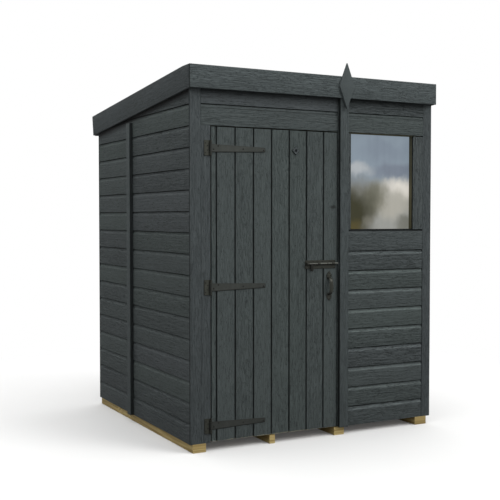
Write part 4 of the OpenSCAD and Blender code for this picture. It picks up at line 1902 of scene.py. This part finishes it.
@dataclass
class Door:
    """The door leaf of upright tongued boards, with ledges on its back."""

    finishes: Finishes
    first_groove: float = 29.5 * MM
    pitch: float = 114.1 * MM
    edge_over: float = 1 * MM
    tongue: float = 3.5 * MM
    tongue_in: tuple[float, float] = (7 * MM, 9 * MM)

    def build(self) -> None:
        """Builds the leaf, the ledges and the small diamond."""
        self.leaf()
        ledges = Shape(82, "door_ledges_sawn", "door_ledges", "sawn_softwood", "door")
        ledges.hang_filled(Lay.BACK_LEVEL, self.finishes.inside, boxes=parts_of("door_ledges"),
                           ease=2.5 * MM, stations=15)
        Shape(83, "door_diamond_plate", "door_diamond", "painted_trim", "door").hang_diamond(
            self.finishes.trim, 1.2 * MM, embed=1 * MM, tone=0.5, rim=2.5 * MM, hole=7.5 * MM)

    def leaf(self) -> None:
        """Builds the leaf's boards, and the tongues that close the joints."""
        boards = Shape(81, "door_boards", "door_leaf", "painted_boards", "door")
        box = Extent.of(boards.node)
        count = int((box.size[0] - self.first_groove) / self.pitch)
        grooves = box.low[0] + self.first_groove + self.pitch * np.arange(count + 1)
        edges = [box.low[0], *grooves, box.high[0] + self.edge_over]
        # Painted shade in the grooves, on the tongues behind them and at each board's top; each
        # board's foot is painted paler.
        for left, right in zip(edges[:-1], edges[1:]):
            outer = left == edges[0], right == edges[-1]
            boards.board(grooved_section(right - left, box.size[1], plain=outer),
                         Lay.FRONT_UPRIGHT, (left, box.low[1], box.low[2]), box.size[2],
                         waver=0.2 * MM, stations=25, end_shade=(-0.6, 0.9))
        front, back = (box.low[1] + depth for depth in self.tongue_in)
        for groove in grooves:
            seam = box.trimmed(x0=groove - self.tongue, x1=groove + self.tongue, y0=front,
                               y1=back)
            boards.fill(seam, Lay.FRONT_UPRIGHT, ease=0.3 * MM, sway=0.0, stations=5,
                        shade=1.0)
        boards.hang(self.finishes.door, self.finishes.inside)


# ---------------------------------------------------------------- the ironwork


@dataclass
class Hinges:
    """Three T-hinges: a plate on the jamb, a knuckle on a pin, a tapered strap."""

    finishes: Finishes
    barrel_r: float = 6.5 * MM
    pin_r: float = 3 * MM
    play: float = 0.2 * MM
    gap: float = 1 * MM
    barrel_half: float = 21.5 * MM
    plate_half: float = 42 * MM
    metal: float = 3 * MM
    embed: float = 1 * MM
    strap_half: tuple[float, float] = (22 * MM, 12.5 * MM)
    shoulder: float = 12 * MM
    clip: float = 2 * MM
    strap_screws: tuple[tuple[float, float], ...] = (
        (20 * MM, -6 * MM), (48 * MM, 13 * MM), (200 * MM, 0.0), (327 * MM, -3 * MM))
    plate_screws: tuple[tuple[float, float], ...] = ((0.28, 26 * MM), (0.72, 12 * MM))

    def build(self) -> None:
        """Builds the three straps on the door and the three plates on the jamb."""
        straps = Shape(91, "hinge_strap_irons", "hinge_straps", "black_ironwork", "door")
        plates = Shape(92, "hinge_plate_irons", "hinge_plates", "black_ironwork")
        left = Extent.of(plates.node).low[0]
        for box in parts_of(straps.node):
            pin, face = box.low[:2] + self.barrel_r, -self.metal + box.high[1]
            self.strap(straps, pin, face, box)
            self.jamb_plate(plates, pin, face, box.middle[2], left)
        straps.hang(self.finishes.strap_iron)
        plates.hang(self.finishes.iron)

    @staticmethod
    def barrel(shape: Shape, pin: np.ndarray, ends: Sequence[float], radius: float,
               bevel: float = 0.8 * MM) -> None:
        """Adds an upright round with chamfered ends.

        Args:
            shape: Where it goes.
            pin: Its place along X and Y.
            ends: The heights of its two ends, in any order.
            radius: Its radius.
            bevel: Leg of the chamfers.
        """
        low, high = sorted(ends)
        tall = high - low
        profile = np.array([[0, 0], [radius - bevel, 0], [radius, bevel],
                            [radius, tall - bevel], [radius - bevel, tall], [0, tall]])
        # The barrels carry painted shade.
        shape.turned(profile, (pin[0], pin[1], low), UPWARD, shade=0.6)

    def strap(self, shape: Shape, pin: np.ndarray, face: float, box: Extent) -> None:
        """Adds one strap with its knuckle and screws.

        Args:
            shape: Where it goes.
            pin: Place of its pin along X and Y.
            face: Depth of its face.
            box: Box of the strap in the construction.
        """
        middle, reach = box.middle[2], box.high[0] - pin[0]
        root, tip = self.strap_half
        half = np.array([[0, self.barrel_half], [self.shoulder, root],
                         [reach - self.clip, tip], [reach, tip - self.clip]])
        outline = np.concatenate([half * (1, -1), half[::-1]])
        shape.plate(outline, (pin[0], face, middle),
                    self.metal + self.embed, 0.8 * MM, rim=5 * MM)
        self.barrel(shape, pin, (middle - self.barrel_half, middle + self.barrel_half),
                    self.barrel_r)
        for along, up in self.strap_screws:
            shape.screw((pin[0] + along, face, middle + up), radius=4.6 * MM)

    def jamb_plate(self, shape: Shape, pin: np.ndarray, face: float, middle: float,
                   left: float) -> None:
        """Adds one jamb plate with its two barrels, its pins and its screws.

        Args:
            shape: Where it goes.
            pin: Place of its pins along X and Y.
            face: Depth of its face.
            middle: Height of its middle.
            left: Left edge of the plate.
        """
        right, half = pin[0] - self.barrel_r - self.gap, self.plate_half
        outline = rounded_rectangle((left, -half), (right, half), 4 * MM)
        shape.plate(outline, (0, face, middle), self.metal + self.embed,
                    0.8 * MM, rim=3 * MM)
        for sign in (-1, 1):
            near, far = middle + sign * (self.barrel_half + self.gap), middle + sign * half
            low, high = sorted((near, far))
            self.barrel(shape, pin, (low, high), self.barrel_r)
            tab = rounded_rectangle((right - 2 * MM, low - middle), (pin[0], high - middle),
                                    1 * MM)
            shape.plate(tab, (0, face, middle), self.metal, 0.6 * MM)
            for across, up in self.plate_screws:
                shape.screw((left + across * (right - left), face, middle + sign * up))
            self.barrel(shape, pin, (middle + sign * (self.barrel_half + self.play), far),
                        self.pin_r)


@dataclass
class Bolt:
    """The tower bolt: a back plate with guides, and a rod with a tongue."""

    finishes: Finishes
    rod_r: float = 5 * MM
    plate_t: float = 2 * MM
    guide_at: tuple[float, ...] = (12 * MM, 86 * MM, 182 * MM)
    guide_w: float = 9 * MM
    guide_t: float = 1.4 * MM
    clear: float = 0.5 * MM
    shadow_strip: float = 3.5 * MM
    rod_shadow_in: float = 20 * MM
    rod_shadow: tuple[float, float] = (-8.5 * MM, -4 * MM)
    tongue: tuple[float, float] = (26 * MM, 42 * MM)
    round_r: float = 2 * MM
    dull_to: float = 66 * MM
    neck: float = 138 * MM
    screws: tuple[tuple[float, float], ...] = (
        (0.045, 0.13), (0.045, 0.87), (0.26, 0.87), (0.56, 0.13), (0.56, 0.87), (0.80, 0.87),
        (0.955, 0.13), (0.955, 0.87))

    def build(self) -> None:
        """Builds the plate with its guides, and the sliding rod."""
        box, rod = Extent.of("bolt_plate"), Extent.of("bolt_rod")
        y, z = rod.low[1] + self.rod_r, rod.high[2] - self.rod_r
        face = box.high[1] - self.plate_t
        base = Shape(94, "bolt_plate_iron", "bolt_plate", "black_ironwork", "door")
        outline = rounded_rectangle(box.low[[0, 2]], box.high[[0, 2]], 5 * MM)
        base.plate(outline, (0, face, 0), self.plate_t + 1 * MM, 0.6 * MM,
                   rim=3 * MM, shade=0.2)
        # A dark sunk strip under the rod stands for the rod's painted shadow on the plate.
        rod_shadow = rounded_rectangle((box.low[0] + self.rod_shadow_in, self.rod_shadow[0]),
                                    (box.high[0] - self.rod_shadow_in, self.rod_shadow[1]), 1 * MM)
        base.plate(rod_shadow, (0, face - 0.6 * MM, z), 1.2 * MM, 0.3 * MM,
                   shade=0.95)
        for at in self.guide_at:
            self.guide(base, box.low[0] + at, face, y, z)
        for x, up in self.screws:
            base.screw((box.low[0] + x * box.size[0], face, box.low[2] + up * box.size[2]),
                       radius=3 * MM, proud=1.2 * MM)
        base.hang(self.finishes.iron)
        self.rod(rod, y, z)

    def guide(self, shape: Shape, x: float, face: float, y: float, z: float) -> None:
        """Adds a guide: a strap that leaves the plate, arches over the rod and returns.

        A thinner dark strip runs along each side of it, as a painted shadow.

        Args:
            shape: Where it goes.
            x: Middle of the guide.
            face: The plate's face.
            y: Depth of the rod's centre.
            z: Height of the rod's centre.
        """
        thickness = self.guide_t
        radius = self.rod_r + self.clear + thickness / 2
        foot = np.array([[thickness / 2, -radius - 7 * MM], [thickness / 2, -radius - 2 * MM],
                         [1.5 * MM, -radius]])
        path = np.concatenate([foot, arc((face - y, 0), radius, -90, 90, 9),
                               (foot * (1, -1))[::-1]])
        shape.band(path, (x, face, z), thickness, self.guide_w, 0.25)
        for side in (-0.5, 0.5):
            across = x + side * (self.guide_w + self.shadow_strip)
            shape.band(path, (across, face, z), thickness / 2, self.shadow_strip, 1.0)

    def rod(self, box: Extent, y: float, z: float) -> None:
        """Builds the rod with rounded ends and the tongue that it is pulled by.

        Args:
            box: Box of the rod in the construction.
            y: Depth of its centre.
            z: Height of its centre.
        """
        rod = Shape(95, "bolt_rod_iron", "bolt_rod", "black_ironwork", "bolt")
        r, length = self.rod_r, box.size[0]
        start = arc((self.round_r, 0), self.round_r, 180, 90)
        near = np.stack([r - self.round_r + start[:, 1], start[:, 0]], 1)
        far = np.stack([near[::-1, 0], length - near[::-1, 1]], 1)
        dull, neck = self.dull_to, self.neck
        notch = np.array([[r, dull], [r, dull + 6 * MM], [r, neck - 3 * MM],
                          [r - 1 * MM, neck - 2.8 * MM], [r - 1 * MM, neck + 2.8 * MM],
                          [r, neck + 3 * MM]])
        profile = np.concatenate([[[0, 0]], near, notch, far, [[0, length]]])
        shade = np.concatenate([np.full(6, 0.3), [0, 0, 1.0, 1.0, 0], np.zeros(5)])
        rod.turned(profile, (box.low[0], y, z), LEVEL, shade=shade)
        left, right = box.low[0] + self.tongue[0], box.low[0] + self.tongue[1]
        half = (right - left) / 2
        tip = arc(((left + right) / 2, box.low[2] - z + half), half, 180, 360, 9)
        outline = np.concatenate([tip, [[right, 0], [left, 0]]])
        rod.plate(outline, (0, y - 2 * MM, z), 4 * MM, 0.6 * MM, shade=1.0)
        rod.hang(self.finishes.bright_iron)


@dataclass
class PullHandle:
    """The pull handle: two spear-shaped leaves and a bow between them."""

    finishes: Finishes
    leaf_half: float = 18 * MM
    bow_w: float = 27 * MM
    bow_t: float = 7 * MM
    metal: float = 3 * MM
    reach: float = 33 * MM
    over: float = 12 * MM
    widest: float = 0.25
    screws: tuple[tuple[float, float], ...] = ((0.0, 0.62), (-0.5, 0.22), (0.5, 0.22))

    def build(self) -> None:
        """Builds the leaves and the bow."""
        handle = Shape(96, "pull_handle_iron", "pull_handle", "black_ironwork", "door")
        box = Extent.of(handle.node)
        x, face = box.middle[0], box.high[1] - self.metal
        roots = (box.low[2] + self.reach, box.high[2] - self.reach)
        t = np.linspace(0, 1, 6)[1:-1]
        for sign, root, tip in ((-1, roots[0], box.low[2]), (1, roots[1], box.high[2])):
            tall = abs(tip - root)
            flank = np.stack([self.leaf_half * (1 - t ** 1.5),
                              tall * self.widest + tall * (1 - self.widest) * t], 1)
            side = np.concatenate([[[self.bow_w / 2, -self.over],
                                    [self.leaf_half, tall * self.widest]], flank])
            outline = np.concatenate([side, [[0, tall]], (side * (-1, 1))[::-1]])
            handle.plate(outline * (1, sign), (x, face, root),
                         self.metal + 1 * MM, 0.8 * MM, rim=4 * MM, shade=0.12)
            for across, up in self.screws:
                handle.screw((x + across * self.leaf_half, face, root + sign * tall * up),
                             radius=3 * MM)
        self.bow(handle, x, box, roots)
        handle.hang(self.finishes.iron, self.finishes.bow_iron)

    def bow(self, shape: Shape, x: float, box: Extent, roots: tuple[float, float]) -> None:
        """Adds the bow: along its height t it stands out by (1 - |t|^3)^(1/2).

        Args:
            shape: Where it goes.
            x: Middle of the handle.
            box: Box of the handle in the construction.
            roots: Heights where the bow meets the leaves.
        """
        t = np.sin(np.linspace(-1, 1, 25) * math.pi / 2)
        stand = box.size[1] - self.bow_t / 2
        out = stand * np.sqrt(np.clip(1 - np.abs(t) ** 3, 0, 1))
        middle, half = sum(roots) / 2, (roots[1] - roots[0]) / 2 - self.bow_t / 2
        path = np.stack([np.full_like(t, x), box.high[1] - out, middle + half * t], 1)
        swell = 1 - 0.18 * np.abs(t)
        radii = np.stack([self.bow_w / 2 * swell, np.full_like(t, self.bow_t / 2)], 1)
        # Painted shade at the bow's ends, and a painted highlight where the shade drops to 0 near
        # its top.
        shade = np.interp(t, [-1, -0.93, -0.85, 0.55, 0.8, 0.95, 1],
                          [0.95, 0.9, 0.35, 0.2, 0, 0.2, 0.95])
        shape.sweep(path, radii, LEVEL, sides=18, slot=1, shade=shade)


# -------------------------------------------------------------------- the stage


@dataclass
class Studio:
    """Pale floor, plain soft light and the camera."""

    eye: Place = (-2.8112, -5.2858, 1.2739)
    turn: float = 27.72
    dip: float = 2.01
    lens: float = 66.15
    sensor: float = 36.0
    sun_from: Place = (0.52, -0.62, 0.59)
    sun_strength: float = 1.35
    sun_width: float = 30.0
    sky_strength: float = 0.50
    sky_rise: float = 1.60
    sides: int = 64

    def build(self) -> None:
        """Makes the camera, the light, the world and the floor."""
        self.camera()
        self.light()
        self.world()
        self.floor()
        bpy.context.scene.view_settings.view_transform = "Standard"

    def camera(self) -> None:
        """Makes the camera, level but for a slight dip, and sets it as the scene's."""
        data = bpy.data.cameras.new("camera")
        data.sensor_width, data.lens, data.clip_end = self.sensor, self.lens, 200.0
        camera = bpy.data.objects.new("camera", data)
        camera.location = self.eye
        camera.rotation_euler = (math.radians(90 - self.dip), 0, -math.radians(self.turn))
        bpy.context.scene.collection.objects.link(camera)
        bpy.context.scene.camera = camera

    def light(self) -> None:
        """Makes the weak and very soft key light, high in front."""
        data = bpy.data.lights.new("key", "SUN")
        data.energy, data.angle = self.sun_strength, math.radians(self.sun_width)
        key = bpy.data.objects.new("key", data)
        towards = -np.array(self.sun_from)
        tip = math.acos(-towards[2] / np.linalg.norm(towards))
        key.rotation_euler = (tip, 0, math.atan2(-towards[0], towards[1]))
        bpy.context.scene.collection.objects.link(key)

    def world(self) -> None:
        """Makes the world: plain white to look at, a soft sky, brightest overhead, as light."""
        world = bpy.data.worlds.new("studio")
        bpy.context.scene.world = world
        world.use_nodes = True
        tree = Tree(world.node_tree)
        rise = tree.part(tree.node("TexCoord").outputs["Generated"], 2)
        sky = tree.math("MULTIPLY_ADD", tree.math("MAXIMUM", rise, 0.0), self.sky_rise,
                        self.sky_strength)
        strength = tree.math("MULTIPLY_ADD", tree.seen(), tree.math("SUBTRACT", 1.0, sky), sky)
        back = tree.node("Background", {"Color": (1, 1, 1, 1), "Strength": strength})
        tree.node("OutputWorld", {"Surface": back.outputs[0]})

    def floor(self) -> None:
        """Makes the floor, a disc of rings, which fades to white away from the shed."""
        radius = np.concatenate([[0], np.geomspace(0.5, 60, 24)])[:, None]
        turn = np.linspace(0, TURN, self.sides, endpoint=False)[None]
        points = np.stack([radius * np.cos(turn), radius * np.sin(turn),
                           np.zeros((len(radius), self.sides))], -1)
        disc = Shape(1, "floor")
        disc.grid(points, np.zeros((len(radius), self.sides + 1, 2)), wrap=True)
        floor = disc.build(PaleFloor("pale_floor").material())


def main() -> None:
    """Builds the stage and then the shed, from the ground up."""
    logging.basicConfig(level=logging.INFO, format="%(name)s: %(message)s")
    Studio().build()
    finishes, cladding, roof = Finishes(), Cladding(), RoofPlane.of_sheet()
    for part in (Base(finishes), FrontWall(finishes, cladding),
                 SideWalls(finishes, cladding, roof), BackWall(finishes, cladding),
                 Framing(finishes, roof), Roof(finishes, roof), Window(finishes),
                 Door(finishes), Hinges(finishes), Bolt(finishes), PullHandle(finishes)):
        part.build()


if __name__ == "__main__":
    main()
